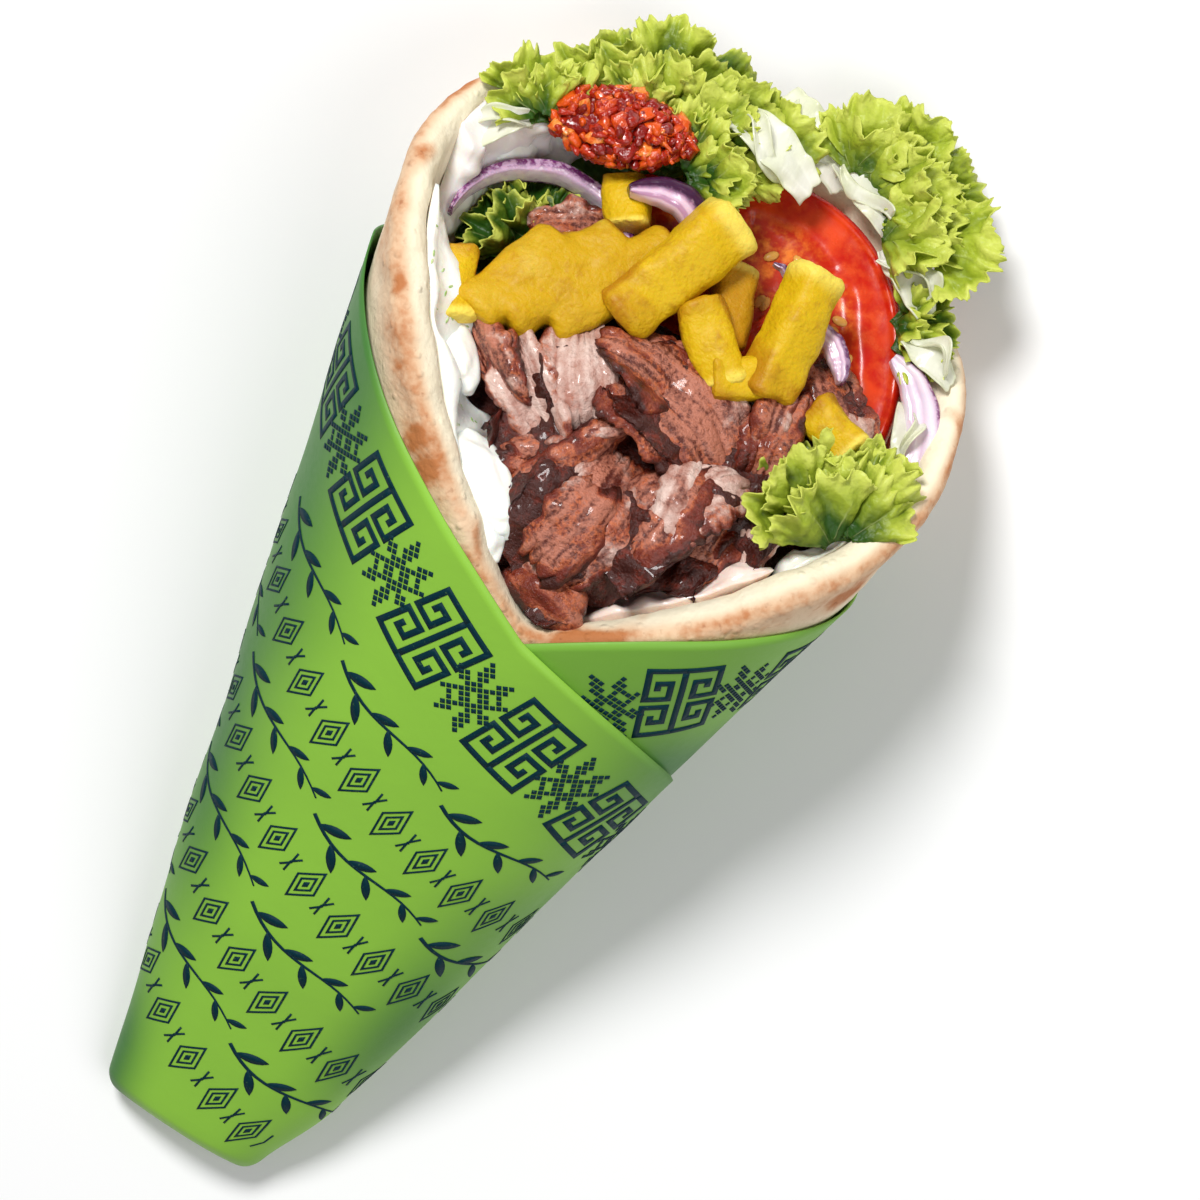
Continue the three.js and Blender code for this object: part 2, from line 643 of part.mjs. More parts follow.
const PIECES = [
  ['pita', buildBread],
  ...entries(FRIES, buildFry),
  ['fry_cluster', buildCluster],
  ['tomato_slice', buildTomato],
  ...entries(ONIONS, buildOnion),
  ['relish', buildRelish],
  ['meat_slice', (grow) => buildSlice(SLICE_BEHIND, grow)],
  ...entries(STRIPS, buildStrip),
  ...entries(LEAVES, buildLeaf),
  ...entries(SAUCES, buildSauce),
  ['meat', () => SLICES.reduce((heap, slice) => heap.add(buildSlice(slice)), meatCore)],
  ['salad', () => saladCore],
];

const wrap = new THREE.Group();

function addPiece(name, solid) {
  const mesh = new THREE.Mesh(geometryOf(solid), materialFor(name));
  mesh.name = name;
  wrap.add(mesh);
}

addPiece('paper_sleeve', buildPaper());
const taken = [];
for (const [name, build] of PIECES) {
  let solid = build(0);
  for (const wider of taken) solid = solid.subtract(wider);
  addPiece(name, largestPiece(name, solid));
  if (name !== 'salad') taken.push(name === 'meat' ? solid : build(GAP));
}

wrap.rotation.z = Math.PI;
wrap.updateMatrixWorld(true);
const box = new THREE.Box3().setFromObject(wrap, true);
const foot = box.getCenter(new THREE.Vector3());
wrap.position.set(-foot.x, -foot.y, -box.min.z);

const group = new THREE.Group();
group.add(wrap);

export default group;
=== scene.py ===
"""Gyro wrap in a printed paper cone: the finished surfaces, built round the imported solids.

The shapes are worked out in the wrap's own frame, in millimetres: x across, y from the tip of
the cone to its mouth, z up from the table. They are turned into the part's frame, in metres,
when their meshes are made.
"""

import itertools
import math

import bpy
import numpy as np
from bpy.props import FloatProperty, FloatVectorProperty, PointerProperty
from mathutils import Matrix, Vector


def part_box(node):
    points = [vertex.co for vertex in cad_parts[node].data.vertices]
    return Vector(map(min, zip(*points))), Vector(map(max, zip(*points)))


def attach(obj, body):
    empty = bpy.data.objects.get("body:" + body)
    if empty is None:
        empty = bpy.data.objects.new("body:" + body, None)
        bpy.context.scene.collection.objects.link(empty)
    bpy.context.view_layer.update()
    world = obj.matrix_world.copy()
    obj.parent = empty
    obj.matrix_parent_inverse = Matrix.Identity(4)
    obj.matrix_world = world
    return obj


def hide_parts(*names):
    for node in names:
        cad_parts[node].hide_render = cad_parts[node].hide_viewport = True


bl_info = {
    "name": "Gyro wrap",
    "version": (1, 0, 0),
    "blender": (4, 5, 0),
    "location": "3D View > Sidebar > Wrap",
    "description": "Builds a pita wrap with its filling in a printed paper cone",
    "category": "Add Mesh",
}

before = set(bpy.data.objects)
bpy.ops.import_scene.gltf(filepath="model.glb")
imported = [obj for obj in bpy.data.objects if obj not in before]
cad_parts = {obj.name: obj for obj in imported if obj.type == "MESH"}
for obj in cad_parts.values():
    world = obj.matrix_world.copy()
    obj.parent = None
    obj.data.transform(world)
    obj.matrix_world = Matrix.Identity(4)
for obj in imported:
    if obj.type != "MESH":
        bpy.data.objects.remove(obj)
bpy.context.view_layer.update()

MM = 0.001
TIP_FOLD = 3.0  # how far the folded paper reaches past the tip of the bread
TIP_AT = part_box("paper_sleeve")[1].y / MM - TIP_FOLD
SIDE_AT = -0.784  # the cone's axis in the part's frame, whose origin is the middle of its box

# ---------------------------------------------------------------- the cone and the mouth

# Degrees go round the cone from its top line towards the wrap's own +x.
CONE = {"tip_half_width": 14.2, "half_width_per_mm": 0.2065, "tip_height": 9.0,
        "height_per_mm": 0.43, "drop": 0.8}
PAPER = {"start": -30.0, "end": 480.0, "wall": 0.5, "inside": 0.3, "lap": 0.8,
         "lap_from": 215.0, "lap_to": 325.0, "back_y": 149.0}
BREAD = {"thick": 7.5, "thin": 4.0, "vee_angle": 8.0, "vee_y": 112.0, "rise": 74.0,
         "floor_y": 24.0}
MOUTH = {"x": 3.0, "y": 148.5, "z": 29.0, "slope": 34.0}

# What lies in the mouth: each row's place in the mouth's own frame, its size, and its turns in
# degrees.
FRIES = {
    "fry_long": dict(at=(-8, 12.5, 14), size=(24, 10, 9), spin=71, lift=10, roll=20, seed=1),
    "fry_right": dict(at=(11.5, 13, 15), size=(21, 8.5, 8.5), spin=98, lift=12, roll=35, seed=2),
    "fry_mid": dict(at=(2.5, 6, 13), size=(14, 8, 8), spin=-40, lift=-8, roll=15, seed=3),
    "fry_stub": dict(at=(8.5, 3.5, 13.5), size=(9, 7, 6), spin=35, roll=10, seed=4),
    "fry_left": dict(at=(-34.5, -7, 10), size=(12, 7.5, 7), spin=-60, lift=5, seed=5),
    "fry_top": dict(at=(-19.5, 19, 9.5), size=(9, 7, 6.5), spin=-60, lift=5, roll=30, seed=6),
    "fry_under": dict(at=(-11, -1.5, 5.5), size=(11, 7, 7), spin=10, roll=20, seed=7),
    "fry_deep": dict(at=(1.5, 13.5, 9), size=(14, 7, 7), spin=110, roll=10, seed=8),
    "fry_orange": dict(at=(24.5, 4.6, 12.4), size=(9.5, 7, 6), spin=-20, lift=6, roll=25, seed=9),
}
# fry_deep's dark tone is painted shade, for a fry that lies in shadow between the others.
FRY_TONE = {"fry_deep": 0.8, "fry_orange": 0.15, "fry_top": 0.0, "fry_under": 0.3}
FRY_CLUSTER = [
    dict(at=(-15, 6, 11), size=(23, 9, 8.5), spin=63, lift=4, roll=8, seed=11),
    dict(at=(-21.5, 3, 11), size=(22, 9, 8.5), spin=68, lift=2, roll=-5, seed=12),
    dict(at=(-27.5, -1, 10.5), size=(18, 8.5, 8), spin=74, roll=-12, seed=13),
]
TOMATO = dict(at=(2.5, 8.5, -1.5), radius=30.5, thick=7.0, spin=75, lift=5, ribs=3.5, phase=0.9)
ONIONS = {
    "onion_arch": dict(at=(-27, 5, 7.5), radius=15.5, wide=2.6, high=4.5, span=(-12, 168),
                       spin=16, roll=-8, skin=1.5, blush=0.2),
    "onion_mid": dict(at=(-13.5, 13.5, 14), radius=11, wide=5, high=4, span=(20, 140), skin=0.9,
                      blush=0.9),
    "onion_right": dict(at=(23.5, 8, 6), radius=17, wide=5.5, high=3, span=(-12, 80), spin=-2,
                        skin=0.24, blush=0.1),
    "onion_inner": dict(at=(13, 8.5, 11), radius=11, wide=3.6, high=3, span=(20, 88), lift=8,
                        skin=0.5, blush=0.5),
    "onion_sliver": dict(at=(4.5, 14, 12), radius=9, wide=1.4, high=2, span=(40, 95),
                         skin=1.5, blush=0.5),
}
LEAVES = {
    "leaf_back": dict(at=(-17.5, 23, 7.5), reach=25.5, spread=62, wave=3.6, lobes=6, cup=-1,
                      spin=102, lift=6, seed=21, frills=22),
    "leaf_right": dict(at=(4.5, 29.5, 5.8), root=14.5, reach=29.5, spread=31, wave=3.2, lobes=5,
                       cup=0, spin=52, lift=10, seed=22, frills=18),
    "leaf_corner": dict(at=(-35, 18.5, 13.5), reach=13.5, spread=34, wave=2, lobes=4, cup=0,
                        spin=120, seed=23, frills=7),
    "leaf_side": dict(at=(22.5, 24.5, 4), reach=12, spread=45, wave=2, lobes=3, cup=0,
                      spin=32, lift=10, seed=24, frills=5),
    "leaf_front": dict(at=(35.8, -11, 10), reach=19, spread=46, wave=2.4, lobes=5, cup=-1,
                       spin=136, lift=5, seed=25, frills=14),
    "leaf_inner": dict(at=(-27, 6.5, 0.5), reach=12.5, spread=85, wave=2.4, lobes=5, cup=0,
                       spin=122, lift=6, seed=26, frills=8),
    "leaf_relish": dict(at=(-16, 24, 12.5), reach=13, spread=45, wave=2, lobes=3, cup=0,
                        spin=52, lift=4, seed=27, frills=6),
}
STRIPS = {
    "strip_curl": dict(at=(-6, 37, 14), long=18, wide=7, arch=3.5, twist=25, spin=-14, lift=4),
    "strip_back": dict(at=(-1, 45, 6), long=17, wide=7, arch=2.5, twist=-20, spin=-28),
    "strip_tomato": dict(at=(10, 40.5, 9), long=14, wide=4.5, arch=1.5, twist=15, spin=-24),
    "strip_side": dict(at=(22, 33, 8), long=12, wide=5.5, arch=2, twist=-20, spin=-30),
    "strip_low": dict(at=(31, 24, 8), long=10, wide=4.5, arch=1.5, twist=20, spin=-15),
    "strip_gap": dict(at=(34, 12.5, 5.5), long=11, wide=4, arch=1.5, twist=30, spin=-65),
    "strip_corner": dict(at=(-41, 19.5, 12.5), long=15, wide=6, arch=2, twist=20, spin=60,
                         lift=4),
}
SAUCES = {
    "tzatziki": dict(span=(-84, -8), depth=60, thick=11, below=1.5, seed=31),
    "sauce_corner": dict(span=(-148, -101), depth=22, thick=6, below=1.5, seed=32),
    "sauce_front": dict(span=(2, 60), depth=26, thick=11.5, below=0.6, seed=33),
    "sauce_right": dict(span=(66, 100), depth=16, thick=3, below=4, seed=34),
}
DOLLOPS = [
    dict(at=(-15.5, -30, 7.6), size=(9, 4.6, 3.4), spin=-33, seed=5),
    dict(at=(-12.5, -35, 6), size=(6, 3.6, 3), spin=-33, seed=8),
    dict(at=(-29, -15.5, 8.6), size=(6.5, 3.4, 2.8), spin=-45, seed=6),
    dict(at=(-43, 9.5, 2.4), size=(8, 4, 3.2), spin=68, seed=7),
    dict(at=(-40.5, 17.5, 4.6), size=(6, 4, 3.2), spin=30, seed=9),
]
RELISH = dict(at=(-26, 26.3, 15.3), size=(10.5, 5.8, 4), spin=20, bits=420)

# The tone of a slice of meat says how pale, how brown and how orange it is.
PINK, PALE, BROWN, RUST = (0.1, 0.3, 0.2), (0.9, 0, 0.1), (0, 0.85, 0.1), (0.1, 0.3, 0.7)
SLICES = [
    dict(at=(-24, -13.5, 10.5), size=(17, 8, 3.5), spin=-30, lift=8, roll=50, bend=2, seed=41,
         tone=(0.1, 0.35, 0)),
    dict(at=(-17, -15.5, 12), size=(20, 11, 3.2), spin=-34, lift=-4, roll=30, bend=3, seed=42,
         tone=(0.7, 0, 0.1)),
    dict(at=(-11.5, -10, 12.5), size=(20, 13, 3.2), spin=-54, lift=-8, roll=18, bend=3, seed=43,
         tone=(0.6, 0, 0.15)),
    dict(at=(-8.5, -21, 7.5), size=(16, 11, 4), spin=20, roll=10, bend=-2, seed=44, tone=BROWN),
    dict(at=(-5.5, -20, 11), size=(22, 7, 3.4), spin=66, lift=6, roll=40, bend=2, seed=45,
         tone=(0.1, 0.55, 0.1)),
    dict(at=(1.5, -5.5, 14), size=(26, 19, 4), spin=-12, roll=-14, bend=4, seed=46, tone=PINK),
    dict(at=(1, -25.5, 11), size=(25, 16.5, 4), spin=84, lift=8, roll=12, bend=5, seed=48,
         tone=(0.3, 0.1, 0.3)),
    dict(at=(9.5, -20.5, 12.5), size=(21, 13, 3.6), spin=86, lift=6, roll=-14, bend=4, seed=49,
         tone=(0.15, 0.5, 0.4)),
    dict(at=(13, -16, 13.5), size=(17, 12, 3.4), spin=60, roll=-24, bend=3, seed=50,
         tone=(0.55, 0.05, 0.2)),
    dict(at=(20, -12, 9.6), size=(20, 12, 3.4), spin=-72, lift=-6, roll=20, bend=3, seed=51,
         tone=PALE),
    dict(at=(17, -1, 12.5), size=(17, 10, 3.6), spin=-84, lift=-4, roll=10, bend=2, seed=52,
         tone=RUST),
    dict(at=(22.5, 8.5, 10), size=(19, 12, 4), spin=-38, roll=12, bend=2, seed=53,
         tone=(0.1, 0.6, 0.3)),
    dict(at=(1.5, -38, 4.5), size=(14, 9, 4), spin=-6, roll=10, bend=2, seed=54, tone=BROWN),
    dict(at=(18.5, -19.5, 7.5), size=(12, 9, 3.6), spin=88, roll=-10, bend=2, seed=55,
         tone=(0.2, 0.4, 0.2)),
]
SLICE_BEHIND = dict(at=(-22.5, 11.8, 8.3), size=(18.5, 9, 3.6), spin=32, roll=12, bend=2, seed=58,
                    tone=(0.25, 0.35, 0.1))

# ---------------------------------------------------------------- numbers and noise

GRADIENTS = np.random.default_rng(5).normal(size=(256, 3))
GRADIENTS /= np.linalg.norm(GRADIENTS, axis=1, keepdims=True)


def seeded(seed):
    """The same run of random shares as the solids use."""
    state = seed * 2654435761 % 2**32
    while True:
        state = (state * 1664525 + 1013904223) % 2**32
        yield state / 2**32


def smooth(low, high, value):
    """0 on the low side and 1 on the high side, with a smooth step; low may be the larger."""
    share = np.clip((value - low) / (high - low), 0, 1)
    return share * share * (3 - 2 * share)


def lattice(cell, seed):
    """The index of the gradient at each corner of the noise's grid."""
    x, y, z = np.moveaxis(cell, -1, 0)
    mixed = (x * 374761393 + y * 668265263 + z * 1442695041 + seed * 974634777) & 0xFFFFFFFF
    mixed = ((mixed ^ (mixed >> 13)) * 1274126177) & 0xFFFFFFFF
    return (mixed ^ (mixed >> 16)) & 255


def noise(points, size, seed=0):
    """Smooth noise of about -1 to 1 at the points, with lumps of the size given."""
    scaled = points / np.asarray(size, float)
    cell = np.floor(scaled).astype(np.int64)
    part = scaled - cell
    fade = part**3 * (part * (6 * part - 15) + 10)
    total = 0
    for corner in itertools.product((0, 1), repeat=3):
        corner = np.array(corner)
        slope = GRADIENTS[lattice(cell + corner, seed)]
        weight = np.prod(np.where(corner, fade, 1 - fade), axis=-1)
        total = total + weight * np.sum(slope * (part - corner), axis=-1)
    return 1.7 * total


def layered(points, size, seed, octaves):
    """Noise with finer noise on it, each layer half as large and half as strong."""
    return sum(noise(points, np.asarray(size) / 2**k, seed + k) / 2**k for k in range(octaves))


def squared(wave, power):
    """A wave of -1 to 1 with fuller flanks: the lower the power, the squarer it is."""
    return np.sign(wave) * np.abs(wave) ** power


def joined(x, y, z):
    """Points from their coordinates, which are first spread to one shape."""
    return np.stack(np.broadcast_arrays(x, y, z), -1)


def flat_points(first, second):
    return joined(first, second, 0.0)


# ---------------------------------------------------------------- frames and places


def part_frame(points):
    """From the wrap's own frame, in millimetres, to the part's, in metres."""
    x, y, z = np.moveaxis(points, -1, 0)
    return joined(SIDE_AT - x, TIP_AT - y, z) * MM


def turning(axis, degrees):
    return np.array(Matrix.Rotation(math.radians(degrees), 4, axis))


def placed(points, item):
    """Points put where an item says, whose spin is in the plane of the mouth."""
    spin, lift, roll = (item.get(key, 0) for key in ("spin", "lift", "roll"))
    mouth, shift = turning("X", -MOUTH["slope"]), np.eye(4)
    mouth[:3, 3] = MOUTH["x"], MOUTH["y"], MOUTH["z"]
    shift[:3, 3] = item["at"]
    matrix = mouth @ shift @ turning("Z", spin) @ turning("Y", -lift) @ turning("X", roll)
    return points @ matrix[:3, :3].T + matrix[:3, 3]


def ball(rows, columns):
    """A round ball of radius 1, as rings about its z axis."""
    lean = np.radians(np.linspace(-88, 88, rows))[:, None]
    turn = np.linspace(0, math.tau, columns, endpoint=False)
    return np.stack([np.cos(lean) * np.cos(turn), np.cos(lean) * np.sin(turn),
                     np.sin(lean) + 0 * turn], -1)


def half_width(y):
    """Half the cone's width at a distance from the tip, as half_height is half its height."""
    return CONE["tip_half_width"] + CONE["half_width_per_mm"] * y


def half_height(y):
    return (CONE["tip_height"] + CONE["height_per_mm"] * y) / 2


CRUMPLE = 0.45  # how far the rolled sheet and bread swell in and out
TIP_TRIM = 0.17  # share by which the folded end is narrower on its right


def cone(degrees, y, offset=0.0):
    """Points on the cone: degrees round it from the top, distance from the tip, and out."""
    degrees, y, offset = np.broadcast_arrays(degrees, y, np.asarray(offset, float))
    angle = np.radians(degrees)
    width, height = half_width(y), half_height(y)
    middle = height + PAPER["inside"] + PAPER["wall"] - CONE["drop"]
    base = np.stack([width * np.sin(angle), y, height * np.cos(angle)], -1)
    swell = CRUMPLE * layered(base, 30, 3, 2) * smooth(-0.9, 0, np.cos(angle))
    x = (width + offset + swell) * np.sin(angle)
    x = x * (1 - TIP_TRIM * smooth(16, -TIP_FOLD, y) * (x > 0))
    z = middle + (height + offset + swell) * np.cos(angle)
    return np.stack([x, y, np.maximum(z, PAPER["inside"] + PAPER["wall"] - offset)], -1)


def rim_y(degrees):
    """How far the bread reaches: lowest at its vee and highest behind."""
    half_turn = np.hypot(np.sin(np.radians(degrees - BREAD["vee_angle"]) / 2), 0.05)
    return BREAD["vee_y"] + BREAD["rise"] * (0.25 * half_turn**2 + 0.75 * half_turn)


def bread_thickness(degrees):
    from_vee = np.abs((degrees - BREAD["vee_angle"] + 180) % 360 - 180)
    share = smooth(50, 115, from_vee)
    thickness = BREAD["thick"] + (BREAD["thin"] - BREAD["thick"]) * share
    return thickness + 0.4 * np.sin(np.radians(3 * degrees + 40))


# ---------------------------------------------------------------- meshes


def outward(points, faces):
    """The faces of a closed surface, turned so that they point out."""
    volume = 0.0
    for group in faces:
        first = points[group[:, 0]]
        for corner in range(1, group.shape[1] - 1):
            second, third = points[group[:, corner]], points[group[:, corner + 1]]
            volume += np.einsum("ij,ij->", first, np.cross(second, third))
    return faces if volume > 0 else [group[:, ::-1] for group in faces]


def grid_quads(index):
    """The quads between the neighbours in a grid of point numbers."""
    quads = [index[:-1, :-1], index[:-1, 1:], index[1:, 1:], index[1:, :-1]]
    return np.stack(quads, -1).reshape(-1, 4)


def grid_normals(points, wrap=False):
    """Unit normals of a grid of points, from its neighbours along rows and columns."""
    if wrap:
        across = np.roll(points, -1, 1) - np.roll(points, 1, 1)
    else:
        across = np.gradient(points, axis=1)
    normal = np.cross(np.gradient(points, axis=0), across)
    return normal / np.maximum(np.linalg.norm(normal, axis=-1, keepdims=True), 1e-9)


class Shape:
    """Closed surfaces gathered into one mesh, with named values at their points."""

    def __init__(self):
        self.points, self.faces, self.values, self.size = [], [], [], 0

    def add(self, points, faces, values):
        """Adds a closed surface, its faces in groups that have the same number of corners."""
        self.points.append(points)
        self.faces += [group + self.size for group in outward(points, faces)]
        self.values.append({name: np.broadcast_to(value, len(points))
                            for name, value in values.items()})
        self.size += len(points)
        return self

    def sheet(self, front, back, **values):
        """A thin body between two grids of points, stitched along their edges."""
        index = np.arange(front.shape[0] * front.shape[1]).reshape(front.shape[:2])
        half = index.size
        edge = np.concatenate([index[0], index[1:, -1], index[-1, -2::-1], index[-2::-1, 0]])
        quads = grid_quads(index)
        sides = np.stack([edge[:-1], edge[:-1] + half, edge[1:] + half, edge[1:]], -1)
        points = np.concatenate([front.reshape(-1, 3), back.reshape(-1, 3)])
        spread = {name: np.tile(np.broadcast_to(value, front.shape[:2]).ravel(), 2)
                  for name, value in values.items()}
        return self.add(points, [quads, quads[:, ::-1] + half, sides], spread)

    def tube(self, rings, **values):
        """A body through rings of points, closed with a fan at each end."""
        index = np.arange(rings.shape[0] * rings.shape[1]).reshape(rings.shape[:2])
        count = index.size
        index = np.concatenate([index, index[:, :1]], 1)
        fans = [np.stack([index[0, 1:], index[0, :-1], np.full(rings.shape[1], count)], -1),
                np.stack([index[-1, :-1], index[-1, 1:], np.full(rings.shape[1], count + 1)], -1)]
        points = np.concatenate([rings.reshape(-1, 3), rings[[0, -1]].mean(1)])
        spread = {}
        for name, value in values.items():
            value = np.broadcast_to(value, rings.shape[:2])
            spread[name] = np.concatenate([value.ravel(), value[[0, -1]].mean(1)])
        return self.add(points, [grid_quads(index), *fans], spread)

    def mesh(self, name, points=None):
        """A Blender mesh; its points stay in millimetres unless others are given."""
        made = bpy.data.meshes.new(name)
        points = np.concatenate(self.points) if points is None else points
        faces = list(itertools.chain.from_iterable(group.tolist() for group in self.faces))
        made.from_pydata(points.tolist(), [], faces)
        for key in self.values[0]:
            value = np.concatenate([group[key] for group in self.values])
            made.attributes.new(key, "FLOAT", "POINT").data.foreach_set("value", value)
        made.shade_smooth()
        return made

    def piece(self, name, finish, slot, *nodes):
        """The finished object, riding on the root body in place of its solids."""
        mesh = self.mesh(name, part_frame(np.concatenate(self.points)))
        return dressed(name, mesh, finish, slot, *nodes)


def dressed(name, mesh, finish, slot, *nodes):
    mesh.materials.clear()
    mesh.materials.append(finish)
    thing = bpy.data.objects.new(name, mesh)
    bpy.context.scene.collection.objects.link(thing)
    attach(thing, "root")
    if nodes:
        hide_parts(*nodes)
    return thing


def work_object(mesh):
    """An object that stands in the scene only while its modifiers run."""
    thing = bpy.data.objects.new("work", mesh)
    bpy.context.scene.collection.objects.link(thing)
    return thing


def finished_mesh(thing):
    """The mesh that a work object's modifiers make of it; the object goes."""
    done = thing.evaluated_get(bpy.context.evaluated_depsgraph_get())
    mesh = bpy.data.meshes.new_from_object(done)
    source = thing.data
    bpy.data.objects.remove(thing)
    bpy.data.meshes.remove(source)
    return mesh


def skinned(shape, voxel, passes):
    """One skin over all the bodies of a shape: points in millimetres, faces and normals."""
    thing = work_object(shape.mesh("skin"))
    remesh = thing.modifiers.new("remesh", "REMESH")
    remesh.mode, remesh.voxel_size = "VOXEL", voxel
    relax = thing.modifiers.new("relax", "SMOOTH")
    relax.factor, relax.iterations = 0.5, passes
    mesh = finished_mesh(thing)
    points, normals = np.zeros((2, len(mesh.vertices) * 3))
    mesh.vertices.foreach_get("co", points)
    mesh.vertex_normals.foreach_get("vector", normals)
    by_sides = {}
    for face in mesh.polygons:
        by_sides.setdefault(len(face.vertices), []).append(tuple(face.vertices))
    faces = [np.array(group) for group in by_sides.values()]
    bpy.data.meshes.remove(mesh)
    return points.reshape(-1, 3), faces, normals.reshape(-1, 3)


def solid_copy(node):
    """A CAD node's solid as one merged shape in the wrap's own frame."""
    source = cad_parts[node].data
    flat = np.zeros(len(source.vertices) * 3)
    source.vertices.foreach_get("co", flat)
    x, y, z = (flat.reshape(-1, 3) / MM).T
    points = np.round(joined(SIDE_AT - x, TIP_AT - y, z), 4)
    corners = np.array([tuple(face.vertices) for face in source.polygons])
    merged, place = np.unique(points, axis=0, return_inverse=True)
    return Shape().add(merged, [place.reshape(-1)[corners]], {})


# ---------------------------------------------------------------- scattered bits


def scatter_tree():
    """Node group: grains on the faces of a mesh, where its attribute show is above 0."""
    tree = bpy.data.node_groups.new("scatter", "GeometryNodeTree")
    new_socket = tree.interface.new_socket
    new_socket("Geometry", in_out="INPUT", socket_type="NodeSocketGeometry")
    kinds = {"Density": "Float", "Size": "Vector", "Spread": "Float", "Seed": "Int"}
    sockets = {name: new_socket(name, in_out="INPUT", socket_type="NodeSocket" + kind).identifier
               for name, kind in kinds.items()}
    new_socket("Geometry", in_out="OUTPUT", socket_type="NodeSocketGeometry")

    def node(kind, settings, **inputs):
        made = tree.nodes.new(kind)
        for key, value in settings.items():
            setattr(made, key, value)
        for key, value in inputs.items():
            socket = made.inputs[key.replace("_", " ")]
            if isinstance(value, bpy.types.NodeSocket):
                tree.links.new(value, socket)
            else:
                socket.default_value = value
        return made.outputs

    given = tree.nodes.new("NodeGroupInput").outputs
    show = node("GeometryNodeInputNamedAttribute", {"data_type": "FLOAT"}, Name="show")
    spots = node("GeometryNodeDistributePointsOnFaces", {}, Mesh=given["Geometry"],
                 Selection=show["Attribute"], Density=given["Density"], Seed=given["Seed"])
    grain = node("GeometryNodeMeshIcoSphere", {}, Radius=1.0, Subdivisions=2)
    share = node("FunctionNodeRandomValue", {"data_type": "FLOAT"}, Min=given["Spread"], Max=1.0)
    size = node("ShaderNodeVectorMath", {"operation": "SCALE"}, Vector=given["Size"],
                Scale=share["Value"])
    spin = node("FunctionNodeRandomValue", {"data_type": "FLOAT"}, Max=math.tau)
    about = node("FunctionNodeAxisAngleToRotation", {}, Angle=spin["Value"])
    turned = node("FunctionNodeRotateRotation", {"rotation_space": "LOCAL"},
                  Rotation=spots["Rotation"], Rotate_By=about["Rotation"])
    copies = node("GeometryNodeInstanceOnPoints", {}, Points=spots["Points"],
                  Instance=grain["Mesh"], Rotation=turned["Rotation"], Scale=size["Vector"])
    real = node("GeometryNodeRealizeInstances", {}, Geometry=copies["Instances"])
    node("NodeGroupOutput", {}, Geometry=real["Geometry"])
    return tree, sockets


def scattered(host, **given):
    """Grains over a host mesh as one mesh; Density is per square metre, Size in metres."""
    thing = work_object(host)
    modifier = thing.modifiers.new("scatter", "NODES")
    modifier.node_group, sockets = scatter_tree()
    for name, value in given.items():
        modifier[sockets[name]] = value
    mesh = finished_mesh(thing)
    mesh.shade_smooth()
    return mesh


# ---------------------------------------------------------------- materials


def linear(code):
    """The linear colour of a hex code."""
    shares = [int(code[k:k + 2], 16) / 255 for k in (0, 2, 4)]
    return tuple(s / 12.92 if s <= 0.04045 else ((s + 0.055) / 1.055) ** 2.4 for s in shares)


def darker(colour, share):
    return tuple(share * c for c in colour)


class Value:
    """A number that varies over a material; arithmetic on it adds Math nodes."""

    def __init__(self, finish, socket):
        self.finish, self.socket = finish, socket

    def math(self, operation, *others):
        inputs = dict(enumerate((self, *others)))
        return self.finish.node("ShaderNodeMath", inputs, {"operation": operation})

    def __add__(self, other):
        return self.math("ADD", other)

    def __mul__(self, other):
        return self.math("MULTIPLY", other)

    def __sub__(self, other):
        return self.math("SUBTRACT", other)

    def __rsub__(self, other):
        return (self * -1.0) + other

    def __pow__(self, other):
        return self.math("POWER", other)

    __radd__, __rmul__ = __add__, __mul__

    def between(self, low, high):
        """0 below low and 1 above high, with a smooth step."""
        inputs = {"Value": self, "From Min": low, "From Max": high}
        return self.finish.node("ShaderNodeMapRange", inputs,
                                {"interpolation_type": "SMOOTHSTEP"})


GLOW_SHARE = 0.3  # how much of a leaf's or strip's light comes through it


